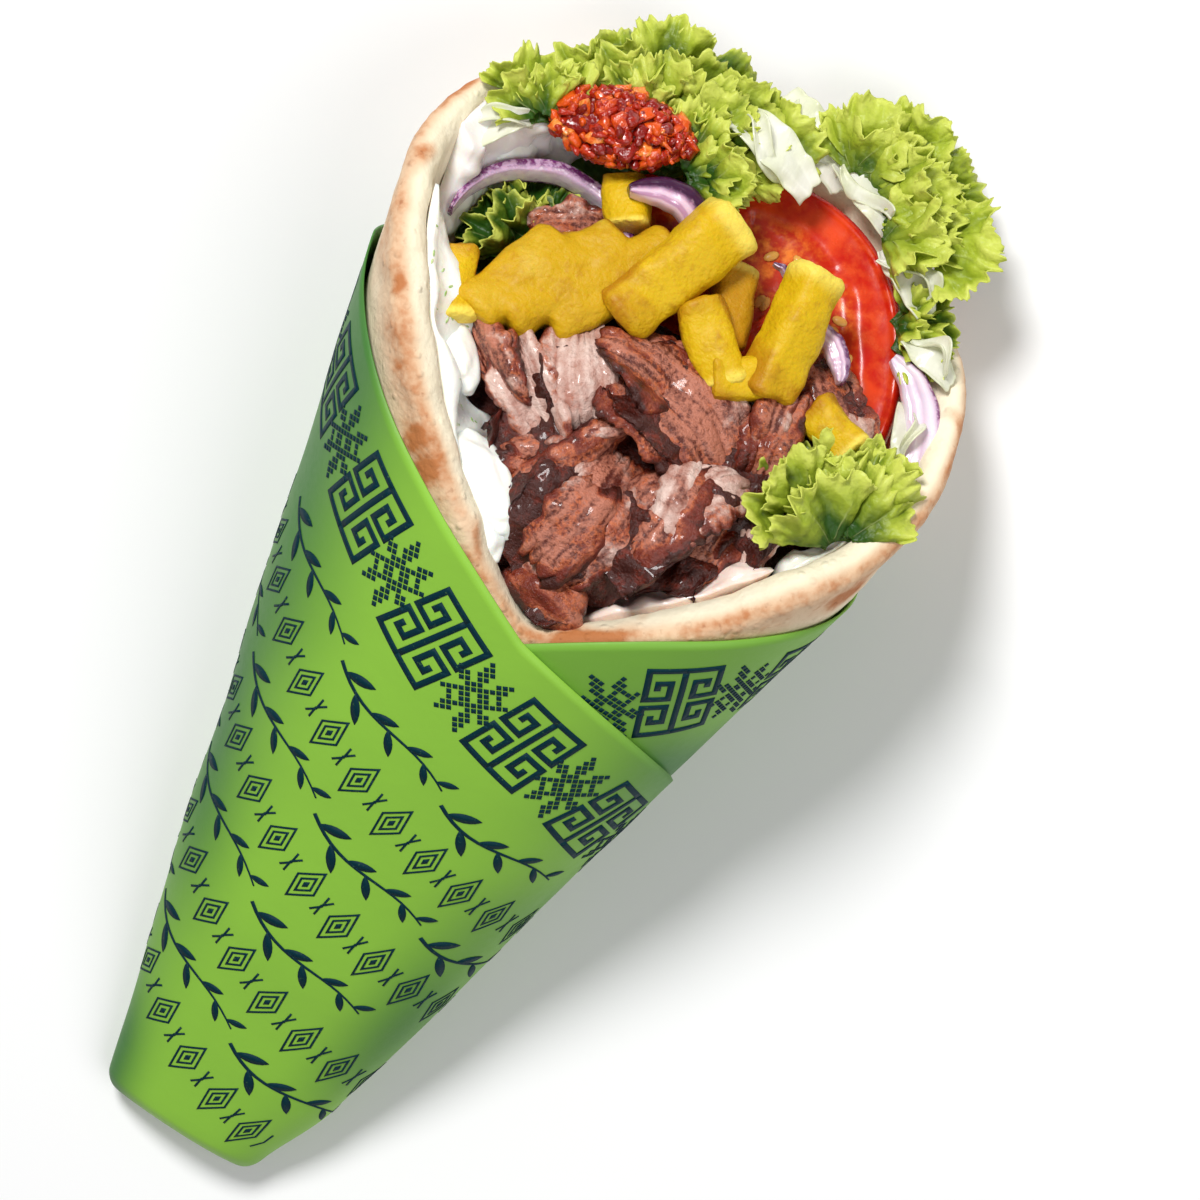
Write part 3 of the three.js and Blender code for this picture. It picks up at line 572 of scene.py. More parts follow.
class Finish:
    """A material under construction."""

    def __init__(self, name):
        self.material = bpy.data.materials.new(name)
        self.material.use_nodes = True
        self.tree = self.material.node_tree
        self.tree.nodes.clear()

    def node(self, kind, inputs=None, settings=None, output=0):
        """A new node's output; a colour is a hex code or three linear shares."""
        made = self.tree.nodes.new(kind)
        for key, value in (settings or {}).items():
            setattr(made, key, value)
        for key, value in (inputs or {}).items():
            socket = made.inputs[key]
            if isinstance(value, Value):
                self.tree.links.new(value.socket, socket)
            elif socket.type == "RGBA":
                value = linear(value) if isinstance(value, str) else value
                socket.default_value = (*value[:3], 1.0)
            else:
                socket.default_value = value
        return Value(self, made.outputs[output]) if made.outputs else None

    def attribute(self, name):
        return self.node("ShaderNodeAttribute", None, {"attribute_name": name}, "Fac")

    def place(self, scale, shift):
        """Where a point is on the object, scaled along each axis and then shifted."""
        where = self.node("ShaderNodeTexCoord", output="Object")
        return self.node("ShaderNodeMapping", {"Vector": where, "Location": shift,
                                               "Scale": scale})

    def grain(self, size, detail=2.0, stretch=(1, 1, 1), shift=0.0, rough=0.5):
        """Noise of 0 to 1 with lumps of a size in millimetres, stretched along an axis."""
        place = self.place(tuple(1 / (size * MM * s) for s in stretch),
                           (shift, 1.7 * shift, 0.6 * shift))
        return self.node("ShaderNodeTexNoise", {"Vector": place, "Scale": 1.0, "Detail": detail,
                                                "Roughness": rough})

    def cells(self, size, shift):
        """Distance to the nearest of scattered points, about 0 to 1."""
        place = self.place((1 / (size * MM),) * 3, (shift,) * 3)
        return self.node("ShaderNodeTexVoronoi", {"Vector": place, "Scale": 1.0})

    def mix(self, factor, first, second):
        return self.node("ShaderNodeMix", {0: factor, 6: first, 7: second},
                         {"data_type": "RGBA", "clamp_factor": True}, 2)

    def bump(self, height, depth, normal=None):
        """A normal bent by a height of 0 to 1 that stands for depth in millimetres."""
        inputs = {"Height": height, "Distance": depth * MM, "Strength": 1.0}
        if normal is not None:
            inputs["Normal"] = normal
        return self.node("ShaderNodeBump", inputs)

    def surface(self, colour, glow=None, **constants):
        """Ends the material; glow is a colour that light through the back takes."""
        inputs = {key.replace("_", " "): value for key, value in constants.items()}
        shader = self.node("ShaderNodeBsdfPrincipled", {"Base Color": colour, **inputs})
        if glow is not None:
            through = self.node("ShaderNodeBsdfTranslucent", {"Color": glow})
            shader = self.node("ShaderNodeMixShader", {0: GLOW_SHARE, 1: shader, 2: through})
        self.node("ShaderNodeOutputMaterial", {"Surface": shader})
        return self.material


def paper_finish(settings):
    finish = Finish("green_paper")
    fibre = finish.grain(1.1, 4, rough=0.65)
    cloud = finish.grain(18, 2)
    colour = finish.mix(cloud.between(0.3, 0.8) * 0.16, settings.green,
                        darker(settings.green, 0.82))
    colour = finish.mix(finish.attribute("shade") * 0.9, colour, "2f6c30")
    normal = finish.bump(fibre, 0.03, finish.bump(finish.grain(7, 2), 0.12))
    return finish.surface(colour, Roughness=fibre * 0.16 + 0.42, Normal=normal,
                          Specular_IOR_Level=0.35)


def ink_finish(settings):
    finish = Finish("printed_ink")
    wear = finish.grain(0.5, 3)
    colour = finish.mix(wear.between(0.62, 0.85) * 0.25, settings.ink, settings.green)
    return finish.surface(colour, Roughness=wear * 0.15 + 0.5, Specular_IOR_Level=0.12)


def bread_finish(settings):
    finish = Finish("baked_bread")
    toast = finish.attribute("toast")
    cloud = finish.grain(7, 4, rough=0.6)
    fine = finish.grain(1.3, 3, shift=3.0)
    freckle = finish.grain(1.0, 2, shift=9.0).between(0.6, 0.78)
    pore = finish.cells(2.6, 1.0).between(0.3, 0.05)
    colour = finish.mix(cloud.between(0.35, 0.7) * 0.6, settings.crumb, settings.cream)
    colour = finish.mix((toast + (cloud - 0.5) * 0.5).between(0.12, 0.75) * 0.85, colour,
                        settings.tan)
    brown = (toast + (fine - 0.5) * 0.5 + (cloud - 0.5) * 0.7).between(0.53, 0.97)
    colour = finish.mix(brown * 0.88, colour, settings.brown)
    colour = finish.mix(freckle * toast.between(0.4, 0.9) * 0.6, colour, "8a4a24")
    normal = finish.bump(pore, 0.18, finish.bump(fine, 0.22, finish.bump(cloud, 0.5)))
    return finish.surface(colour, Roughness=cloud * 0.15 + 0.62, Normal=normal,
                          Specular_IOR_Level=0.3)


def fry_finish(settings):
    finish = Finish("fried_potato")
    edge = finish.attribute("edge")
    tone = finish.attribute("tone")
    cloud = finish.grain(4.5, 3, rough=0.6)
    fine = finish.grain(0.7, 3, shift=2.0)
    base = finish.mix(tone, settings.fry, settings.fry_dark)
    colour = finish.mix((cloud + (fine - 0.5) * 0.3).between(0.5, 0.78) * 0.55, base,
                        settings.fry_dark)
    # A painted highlight where the edge value is high: the fries' corners and one end, and random
    # patches on the cluster.
    pale = (edge + (cloud - 0.5) * 0.6).between(0.35, 1.0)
    colour = finish.mix(pale * 0.62, colour, settings.fry_highlight)
    # Painted shade where the side value is high: one end of each fry and the cluster's
    # undersides; the fries' two sides are browned, partly as painted shade.
    side = (finish.attribute("side") + (cloud - 0.5) * 0.8).between(0.4, 1.0)
    colour = finish.mix(side * 0.75, colour, "a8690e")
    spot = finish.grain(1.9, 3, shift=7.0).between(0.56, 0.8)
    colour = finish.mix(spot * 0.45, colour, "a8661a")
    normal = finish.bump(fine, 0.25, finish.bump(cloud, 0.5))
    return finish.surface(colour, Roughness=fine * 0.3 + 0.34, Normal=normal,
                          Subsurface_Weight=0.1, Subsurface_Scale=0.002, Coat_Weight=0.03,
                          Coat_Roughness=0.25, Specular_IOR_Level=0.2)


def tomato_finish(settings):
    finish = Finish("tomato_flesh")
    skin, gel, seed = (finish.attribute(name) for name in ("skin", "gel", "seed"))
    streak = finish.grain(2.4, 3, rough=0.6)
    cloud = finish.grain(6, 2, shift=4.0)
    colour = finish.mix(streak.between(0.35, 0.7), settings.tomato, "d4441a")
    colour = finish.mix(cloud.between(0.45, 0.7) * 0.8, colour, "e2481c")
    colour = finish.mix(gel, colour, finish.mix(streak.between(0.4, 0.7), "bc3018", "ec802c"))
    colour = finish.mix(skin, colour, "c0140c")
    colour = finish.mix(seed, colour, "e8b45a")
    normal = finish.bump(streak, 0.06)
    return finish.surface(colour, Roughness=streak * 0.12 + 0.2, Normal=normal,
                          Subsurface_Weight=0.1, Subsurface_Scale=0.002, Coat_Weight=0.05,
                          Coat_Roughness=0.08, Specular_IOR_Level=0.24)


def onion_finish(settings):
    finish = Finish("red_onion")
    out, line, blush = (finish.attribute(name) for name in ("out", "line", "blush"))
    cloud = finish.grain(3, 3)
    stripe = finish.grain(0.9, 2, shift=5.0)
    colour = finish.mix(cloud.between(0.4, 0.75) * 0.5, "f1e6ee", "dcc3d6")
    colour = finish.mix(line * 0.45, colour, "b98ab4")
    blushed = finish.mix(line.between(0.3, 0.8), "dcb4c8", "a8648c")
    colour = finish.mix(blush * 0.8, colour, blushed)
    rim = (out + (stripe - 0.5) * 0.8).between(0.3, 0.65)
    colour = finish.mix(rim, colour, finish.mix(stripe.between(0.4, 0.62), settings.onion,
                                                "d9b3d2"))
    dark = (out + (stripe - 0.5) * 0.3).between(0.34, 0.58) * (blush * 1.1)
    colour = finish.mix(dark, colour, darker(settings.onion, 0.22))
    normal = finish.bump(stripe, 0.06, finish.bump(line, 0.15))
    return finish.surface(colour, Roughness=cloud * 0.1 + 0.2, Normal=normal,
                          Subsurface_Weight=0.15, Subsurface_Scale=0.002, Coat_Weight=0.3)


def leaf_finish(settings, name, shade):
    """Lettuce: painted shade in its folds and at its roots, a painted highlight on its raised
    ridges, and yellow tips; a higher shade is darker.
    """
    finish = Finish(name)
    tip, ridge, vein = (finish.attribute(key) for key in ("tip", "ridge", "vein"))
    cloud = finish.grain(5, 3, shift=1.0)
    fine = finish.grain(1.1, 2, shift=6.0)
    # Painted light and shade: lift is high on raised ridges and at the tips, and low in folds and
    # at the roots.
    lift = ridge * 0.4 + tip * 0.6 + (cloud - 0.5) * 0.6 + (fine - 0.5) * 0.15
    colour = finish.mix(lift.between(0.27 + shade, 0.72 + shade), settings.leaf_fold_shade,
                        settings.leaf)
    light = lift + tip**6 * 0.35
    colour = finish.mix(light.between(0.6 + 0.5 * shade, 1.0 + 0.5 * shade) * 0.9, colour,
                        settings.leaf_tip)
    colour = finish.mix(vein * 0.5, colour, "cfd98a")
    normal = finish.bump(fine, 0.35, finish.bump(cloud, 0.4, finish.bump(vein, 0.15)))
    return finish.surface(colour, glow="d6e440", Roughness=cloud * 0.2 + 0.34,
                          Normal=normal, Specular_IOR_Level=0.4)


def strip_finish(settings):
    finish = Finish("pale_cabbage")
    edge = finish.attribute("edge")
    cloud = finish.grain(5, 3, (1, 3, 1))
    rib = finish.grain(0.9, 2, stretch=(1, 4, 1), shift=4.0)
    colour = finish.mix(cloud.between(0.3, 0.7), settings.cabbage, "f0f2da")
    colour = finish.mix(edge.between(0.7, 1.0) * 0.3, colour, "dbe3a4")
    normal = finish.bump(rib, 0.12, finish.bump(cloud, 0.4))
    return finish.surface(colour, glow="fbfbe6", Roughness=rib * 0.1 + 0.22,
                          Normal=normal, Coat_Weight=0.2)


def sauce_finish(name, tint, shade):
    finish = Finish(name)
    cloud = finish.grain(5, 3)
    fine = finish.grain(1.0, 3, shift=8.0)
    colour = finish.mix(cloud.between(0.4, 0.8) * 0.6, tint, shade)
    normal = finish.bump(fine, 0.05, finish.bump(cloud, 0.35))
    return finish.surface(colour, Roughness=fine * 0.12 + 0.2, Normal=normal,
                          Subsurface_Weight=0.2, Subsurface_Scale=0.003, Coat_Weight=0.25)


def herb_finish():
    finish = Finish("chopped_herb")
    cloud = finish.grain(0.8, 2)
    colour = finish.mix(cloud.between(0.35, 0.7), "8fb060", "c4d69a")
    return finish.surface(colour, Roughness=cloud * 0.1 + 0.35)


def relish_finish(settings):
    finish = Finish("pepper_relish")
    lump = finish.grain(1.6, 3, rough=0.6)
    fine = finish.grain(0.6, 3, shift=3.0)
    ripe = finish.attribute("tone") + (lump - 0.5) * 0.9
    colour = finish.mix(ripe.between(0.1, 0.4), settings.relish, "b02408")
    colour = finish.mix(ripe.between(0.45, 0.75), colour, "dd520e")
    colour = finish.mix(ripe.between(0.85, 1.05) * 0.8, colour, "f29a42")
    normal = finish.bump(fine, 0.2, finish.bump(lump, 0.2))
    return finish.surface(colour, Roughness=fine * 0.25 + 0.08, Normal=normal, Coat_Weight=0.35,
                          Coat_Roughness=0.08, Subsurface_Weight=0.1, Subsurface_Scale=0.001)


def meat_finish(settings):
    """Roast meat: flesh, pale streaks, and a crust that goes from orange to near black; its
    darkest tones also paint shade on the core and on one side of each slice, for the gaps between
    slices.
    """
    finish = Finish("roast_meat")
    pale, sear, fibre, mark = (finish.attribute(name)
                               for name in ("pale", "sear", "fibre", "mark"))
    cloud = finish.grain(4.0, 4, rough=0.62)
    fine = finish.grain(1.2, 5, shift=4.0, rough=0.68)
    blot = finish.grain(2.2, 4, shift=9.0, rough=0.65)
    dust = finish.grain(0.6, 3, shift=15.0, rough=0.6)
    colour = finish.mix((fine * 0.6 + dust * 0.6 + (fibre - 0.5) * 0.5).between(0.42, 0.74),
                        "5a2014", settings.meat)
    light = finish.mix((cloud * 0.5 + fine * 0.3 + fibre * 0.4).between(0.35, 0.85),
                       "ae6c58", "f0d8cc")
    colour = finish.mix((pale + (cloud - 0.5) * 1.1).between(0.3, 0.6) * 0.92, colour, light)
    # The crust's darker tones also paint shade where the sear value carries it: on the core and
    # on one side of each slice.
    crust_and_shade = sear + (mark - 0.5) * 0.6 + (blot - 0.5) * 0.8 + (dust - 0.5) * 0.5
    orange = finish.mix(dust.between(0.42, 0.6), "8a2e12", "c4622e")
    colour = finish.mix(crust_and_shade.between(0.34, 0.58) * 0.72, colour, orange)
    colour = finish.mix(crust_and_shade.between(0.54, 0.72) * 0.9, colour, "6a1c0a")
    colour = finish.mix(crust_and_shade.between(0.74, 0.98) * 0.9, colour, "360d04")
    normal = finish.bump(dust, 0.26, finish.bump(fine, 0.5, finish.bump(blot, 0.4)))
    return finish.surface(colour, Roughness=fine * 0.7 + 0.02, Normal=normal, Coat_Weight=0.2,
                          Coat_Roughness=0.1, Specular_IOR_Level=0.45)


def floor_finish():
    finish = Finish("pale_floor")
    cloud = finish.grain(60, 2)
    colour = finish.mix(cloud, (0.93, 0.93, 0.93), (0.91, 0.91, 0.91))
    return finish.surface(colour, Roughness=0.6, Specular_IOR_Level=0.2)


# ---------------------------------------------------------------- settings


def colour_setting(name, description, code):
    return FloatVectorProperty(name=name, description=description, default=linear(code),
                               size=3, min=0.0, max=1.0, subtype="COLOR")


def length_setting(name, description, millimetres):
    return FloatProperty(name=name, description=description, default=millimetres * MM,
                         min=0.0, unit="LENGTH")


class WrapPaperSettings(bpy.types.PropertyGroup):
    """The paper cone and its print."""

    green: colour_setting("Paper", "Colour of the paper", "8fc640")
    ink: colour_setting("Ink", "Colour of the print", "002b36")
    thickness: length_setting("Thickness", "Thickness of the sheet at its edge", 0.3)
    key_width: length_setting("Key width", "Width of one block of the key pattern", 11.4)
    stitch: length_setting("Stitch", "Spacing of the stitches in a star", 0.68)


class WrapBreadSettings(bpy.types.PropertyGroup):
    """The rolled pita."""

    crumb: colour_setting("Crumb", "Colour of the untoasted bread", "f1e5c8")
    cream: colour_setting("Cream", "Lightest colour of the bread", "f6eed6")
    tan: colour_setting("Tan", "Colour of lightly toasted bread", "d6a981")
    brown: colour_setting("Brown", "Colour of the toasted spots", "b4682f")
    relief: length_setting("Relief", "Depth of the unevenness of its surface", 0.45)


class WrapFillingSettings(bpy.types.PropertyGroup):
    """Everything in the mouth of the wrap."""

    fry: colour_setting("Fries", "Main colour of the fries", "d6b00e")
    fry_dark: colour_setting("Fries, dark", "Darker fried patches", "ac7610")
    # Painted highlight on the fries' corners and lit ends.
    fry_highlight: colour_setting("Fries, light", "Lightest edges of the fries", "f8e468")
    tomato: colour_setting("Tomato", "Flesh of the tomato", "be1a0a")
    onion: colour_setting("Onion skin", "Outer edge of the red onion", "7d2f74")
    leaf: colour_setting("Lettuce", "Main colour of the leaves", "b6c63c")
    # Painted shade in the folds and at the roots of the leaves.
    leaf_fold_shade: colour_setting("Lettuce, dark", "Colour deep in the folds", "2a5412")
    leaf_tip: colour_setting("Lettuce, tips", "Colour of the frilled edges", "e6ec70")
    cabbage: colour_setting("Cabbage", "Colour of the pale strips", "fdfcf4")
    relish: colour_setting("Relish", "Main colour of the relish", "841006")
    meat: colour_setting("Meat", "Main colour of the meat", "bc745c")
    leaf_thickness: length_setting("Leaf thickness", "Thickness of a leaf", 0.3)


class WrapStageSettings(bpy.types.PropertyGroup):
    """Floor, lights and camera."""

    distance: length_setting("Distance", "From the camera to the point it looks at", 1000)
    elevation: FloatProperty(name="Elevation", description="Height of the camera over the floor",
                             default=math.radians(74), subtype="ANGLE")
    roll: FloatProperty(name="Roll", description="Turn of the picture about the line of sight",
                        default=math.radians(32.2), subtype="ANGLE")
    lens: FloatProperty(name="Lens", description="Focal length in millimetres", default=187.5,
                        min=1.0, subtype="DISTANCE_CAMERA")
    key_power: FloatProperty(name="Key light", description="Power of the large soft light",
                             default=24.0, unit="POWER")
    sky: FloatProperty(name="Sky", description="Brightness of the even light all round",
                       default=0.22, min=0.0, subtype="FACTOR")


# ---------------------------------------------------------------- paper and print


def paper_top(turn):
    """Height of the sheet's top edge, all the way from its hidden start to the lap."""
    past = turn - 360 - BREAD["vee_angle"]
    fall = np.exp(-(turn - BREAD["vee_angle"]) / 68)
    inner = PAPER["back_y"] - (PAPER["back_y"] - BREAD["vee_y"]) * fall
    return np.minimum(inner, BREAD["vee_y"] + 0.5 - 0.285 * past + 0.09 * np.abs(past))


def paper_offset(turn):
    return PAPER["inside"] + PAPER["lap"] * smooth(PAPER["lap_from"], PAPER["lap_to"], turn)


def build_paper(settings):
    """The rolled sheet, closed at the tip by its fold."""
    turns = np.linspace(PAPER["start"], PAPER["end"], 409)
    top = paper_top(turns) + 0.25 * noise(flat_points(turns, 0.0), 23, 8)
    rows = 62
    fold = np.linspace(1, 0, 10)[:-1, None]
    fold_y = -TIP_FOLD * np.sin(fold * math.pi / 2) + 0 * turns
    y = np.concatenate([fold_y, top * np.linspace(0, 1, rows)[:, None]])
    narrow = np.concatenate([np.cos(fold * math.pi / 2), np.ones((rows, 1))]) + 0 * turns

    def face(extra):
        points = cone(turns, y, paper_offset(turns) + extra)
        middle = half_height(0)
        points[..., 2] = middle + (points[..., 2] - middle) * (0.06 + 0.94 * narrow)
        points[..., 0] *= 0.82 + 0.18 * narrow
        return points

    angle = (turns + 180) % 360 - 180
    clouds = 0.7 + 0.7 * noise(flat_points(turns / 4, y), 30, 9)
    shade = smooth(20, 68, np.abs(angle)) * smooth(150, 95, np.abs(angle))
    shade = shade * np.clip(clouds, 0.15, 1)
    shade = np.maximum(shade, smooth(34, 6, top - y) * smooth(-22, -60, angle))
    shade = np.maximum(shade, 0.42 * smooth(200, 110, turns))
    wall = PAPER["wall"]
    shape = Shape().sheet(face(wall), face(wall - settings.thickness / MM), shade=shade)
    shape.piece("paper_cone", paper_finish(settings), "paper", "paper_sleeve")


# The sheet laid flat is a sector: a point of it is held as x and y from the cone's apex, with
# the top line of the wrap straight up.
MEAN_SLOPE = (CONE["half_width_per_mm"] + CONE["height_per_mm"] / 2) / 2
APEX = (CONE["tip_half_width"] + CONE["tip_height"] / 2) / 2 / MEAN_SLOPE + 7.5
SLANT = math.hypot(1, MEAN_SLOPE)
SECTION_OFFSET = 1.6


def arc_terms(y):
    """Mean radius of the cone's section at y, and the terms of its arc length by angle."""
    a, b = half_width(y) + SECTION_OFFSET, half_height(y) + SECTION_OFFSET
    mean = (3 * (a + b) - np.sqrt((3 * a + b) * (a + 3 * b))) / 2
    return mean, (a - b) / 4, ((a + b) / 2 - mean) / 4


def arc_length(angle, y):
    mean, second, fourth = arc_terms(y)
    return mean * angle + second * np.sin(2 * angle) + fourth * np.sin(4 * angle)


def sheet_to_flat(turn, y):
    slant = SLANT * (y + APEX)
    around = arc_length(np.radians(turn - 360), y) / slant
    return np.stack([slant * np.sin(around), slant * np.cos(around)], -1)


def flat_to_sheet(flat):
    """Turn and distance from the tip of points of the flat sheet."""
    slant = np.hypot(flat[..., 0], flat[..., 1])
    y = slant / SLANT - APEX
    arc = np.arctan2(flat[..., 0], flat[..., 1]) * slant
    mean, second, fourth = arc_terms(y)
    angle = arc / mean
    for _ in range(5):
        speed = mean + 2 * second * np.cos(2 * angle) + 4 * fourth * np.cos(4 * angle)
        angle = angle + (arc - arc_length(angle, y)) / speed
    return 360 + np.degrees(angle), y


INK_LIFT = (0.02, 0.08)  # the print's underside and face over the paper


class Print:
    """Flat shapes in ink on the sheet, drawn in a frame that can be moved along it."""

    def __init__(self):
        self.shape = Shape()
        self.origin, self.along = np.zeros(2), np.array([1.0, 0.0])

    def at(self, origin, along):
        self.origin, self.along = np.asarray(origin, float), along / np.linalg.norm(along)
        return self

    def place(self, points):
        across = np.array([-self.along[1], self.along[0]])
        return self.origin + points[..., :1] * self.along + points[..., 1:] * across

    def ink(self, grid):
        turn, y = flat_to_sheet(self.place(grid))
        offset = paper_offset(turn) + PAPER["wall"]
        low, high = (cone(turn, y, offset + lift) for lift in INK_LIFT)
        self.shape.sheet(high, low)

    def stroke(self, path, width, closed=False):
        """A line of a width, or of a width at each point, with mitred corners."""
        path = np.asarray(path, float)
        width = np.broadcast_to(width, len(path)).astype(float)
        steps = np.linalg.norm(np.diff(path, axis=0), axis=1)
        pieces = np.maximum(np.ceil(steps / 1.3), 1).astype(int)
        stops = np.concatenate([k + np.arange(n) / n for k, n in enumerate(pieces)]
                               + [[len(path) - 1.0]])
        knots = np.arange(len(path))
        fine = np.stack([np.interp(stops, knots, path[:, axis]) for axis in (0, 1)], -1)
        wide = np.interp(stops, knots, width)
        run = np.diff(fine, axis=0)
        run /= np.linalg.norm(run, axis=1, keepdims=True)
        ends = (run[-1:], run[:1]) if closed else (run[:1], run[-1:])
        before, after = np.concatenate([ends[0], run]), np.concatenate([run, ends[1]])
        first = np.stack([-before[:, 1], before[:, 0]], -1)
        second = np.stack([-after[:, 1], after[:, 0]], -1)
        mitre = (first + second) / (1 + np.sum(first * second, -1, keepdims=True))
        reach = mitre * wide[:, None] / 2
        self.ink(np.stack([fine + reach, fine - reach], 1))

    def lozenge(self, x, y, width, height):
        corners = [[x - width / 2, y], [x, y + height / 2], [x, y - height / 2],
                   [x + width / 2, y]]
        self.ink(np.array(corners, float).reshape(2, 2, 2))


def draw_key(ink, width):
    """A block of four hooked keys round a bar."""
    half, high, line = width / 2, width * 0.61, width * 0.092
    ink.stroke([(0, -high + line / 2), (0, high - line / 2)], line)
    hook = [(0, 1), (1, 1), (1, 0.13), (0.34, 0.13), (0.34, 0.62), (0.7, 0.62), (0.7, 0.4)]
    for side, up in itertools.product((-1, 1), repeat=2):
        ink.stroke([(side * half * x, up * high * y) for x, y in hook], line)


def draw_star(ink, stitch):
    """A cross-stitched star: two bars along and two across, three stitches wide."""
    along, across = 7.5, 9.5
    for i, j in itertools.product(np.arange(-along, along + 1), np.arange(-across, across + 1)):
        x, y = abs(i), abs(j)
        bar = 1 < y < 4 and x <= along - 3.5 + y or 1 < x < 4 and y <= across - 3.5 + x
        open_corner = max(x, y) < 4 and x + y > 5
        if bar and not open_corner and (i + j) % 2 == 0:
            ink.lozenge(i * stitch, j * stitch, 1.6 * stitch, 1.6 * stitch)


def draw_diamonds(ink, size):
    """An outlined lozenge round a smaller one, with a bar on each side."""
    for scale in (1.0, 0.55):
        path = [(0.25, 0.5), (0.5, 0), (0, -1), (-0.5, 0), (0, 1), (0.25, 0.5)]
        ink.stroke([(scale * size * x, scale * size * y) for x, y in path], 0.34, closed=True)
    ink.lozenge(0, 0, 0.22 * size, 0.44 * size)
    for side in (-1, 1):
        x = side * 0.86 * size
        ink.stroke([(x, -0.5 * size), (x + side * 0.16 * size, 0), (x, 0.5 * size)], 0.34)


def draw_sprig(ink, length):
    """A curved stem with olive leaves in pairs and an olive at its root."""
    run = np.linspace(-0.5, 0.5, 15)
    stem = np.stack([run * length, 0.06 * length * np.sin(5 * run)], -1)
    ink.stroke(stem, np.linspace(0.7, 0.3, len(run)))
    for index in range(1, 14, 2):
        side = 1 if index % 4 == 1 else -1
        start = stem[index]
        reach = 0.21 * length * (1.1 - 0.45 * index / 14)
        share = np.linspace(0, 1, 7)
        lean = math.radians(38) * side
        blade = start + reach * share[:, None] * np.array([math.cos(lean), math.sin(lean)])
        ink.stroke(blade, 0.08 + 0.3 * reach * np.sin(math.pi * share) ** 0.8)


KEY_PITCH = 22.0
BAND_DEPTH = 12.9  # from the sheet's edge to the middle of the band
BAND_TURNS = (14, 474)
FIRST_KEY = np.array([-6.5, 159.7])  # the key next to the lap's lowest point, on the flat sheet
ROW_PITCH = 9.8
ROW_ALONG = np.array([0.902, -0.432])  # the rows run like the lap's edge
ROW_TURNS = (128, 476)
ROW_MARGINS = {"tip": 4, "edge": 25}
DIAMONDS = {"size": 4.2, "spacing": 8.4, "reach": 6.5}
SPRIGS = {"size": 25.0, "spacing": 27.0, "reach": 13.0}


def band_line():
    """The middle of the band, a set depth inside the sheet's top edge."""
    turns = np.linspace(12, PAPER["end"] + 8, 900)
    edge = sheet_to_flat(turns, paper_top(turns))
    run = np.gradient(edge, axis=0)
    run /= np.linalg.norm(run, axis=1, keepdims=True)
    return edge + BAND_DEPTH * np.stack([run[:, 1], -run[:, 0]], -1)


def draw_band(ink, settings):
    line = band_line()
    along = np.concatenate([[0], np.cumsum(np.linalg.norm(np.diff(line, axis=0), axis=1))])
    first = along[np.argmin(np.linalg.norm(line - FIRST_KEY, axis=1))]
    width = settings.key_width / MM
    steps = np.arange(math.ceil(-2 * first / KEY_PITCH), 2 * (along[-1] - first) / KEY_PITCH)
    for step in steps.astype(int):
        distance = first + step * KEY_PITCH / 2
        middle, ahead = (np.array([np.interp(distance + d, along, line[:, axis])
                                   for axis in (0, 1)]) for d in (0, 1.0))
        reach = width / 2 if step % 2 == 0 else 7.9 * settings.stitch / MM
        turn, _ = flat_to_sheet(middle)
        inside = reach <= distance <= along[-1] - reach
        if not inside or not BAND_TURNS[0] < turn < BAND_TURNS[1]:
            continue
        ink.at(middle, ahead - middle)
        if step % 2 == 0:
            draw_key(ink, width)
        else:
            draw_star(ink, settings.stitch / MM)


def draw_rows(ink):
    """Rows of lozenges and of sprigs over the rest of the sheet's outside."""
    across = np.array([-ROW_ALONG[1], ROW_ALONG[0]])
    for row in range(1, 22):
        motif, draw = (SPRIGS, draw_sprig) if row % 2 else (DIAMONDS, draw_diamonds)
        for step in range(-26, 27):
            shift = (step + (row % 4) * 0.35) * motif["spacing"]
            middle = FIRST_KEY + shift * ROW_ALONG - (6.0 + ROW_PITCH * row) * across
            if middle[1] < 20 and abs(middle[0]) < 20:
                continue  # at the apex, where the unrolled sheet has no place
            ends = middle + np.outer((-motif["reach"], 0, motif["reach"]), ROW_ALONG)
            turn, y = flat_to_sheet(ends)
            if turn.min() < ROW_TURNS[0] or turn.max() > ROW_TURNS[1]:
                continue
            if y.min() < ROW_MARGINS["tip"] or (paper_top(turn) - y).min() < ROW_MARGINS["edge"]:
                continue
            draw(ink.at(middle, ROW_ALONG), motif["size"])


def build_print(settings):
    ink = Print()
    draw_band(ink, settings)
    draw_rows(ink)
    ink.shape.piece("paper_print", ink_finish(settings), "paper")


# ---------------------------------------------------------------- bread


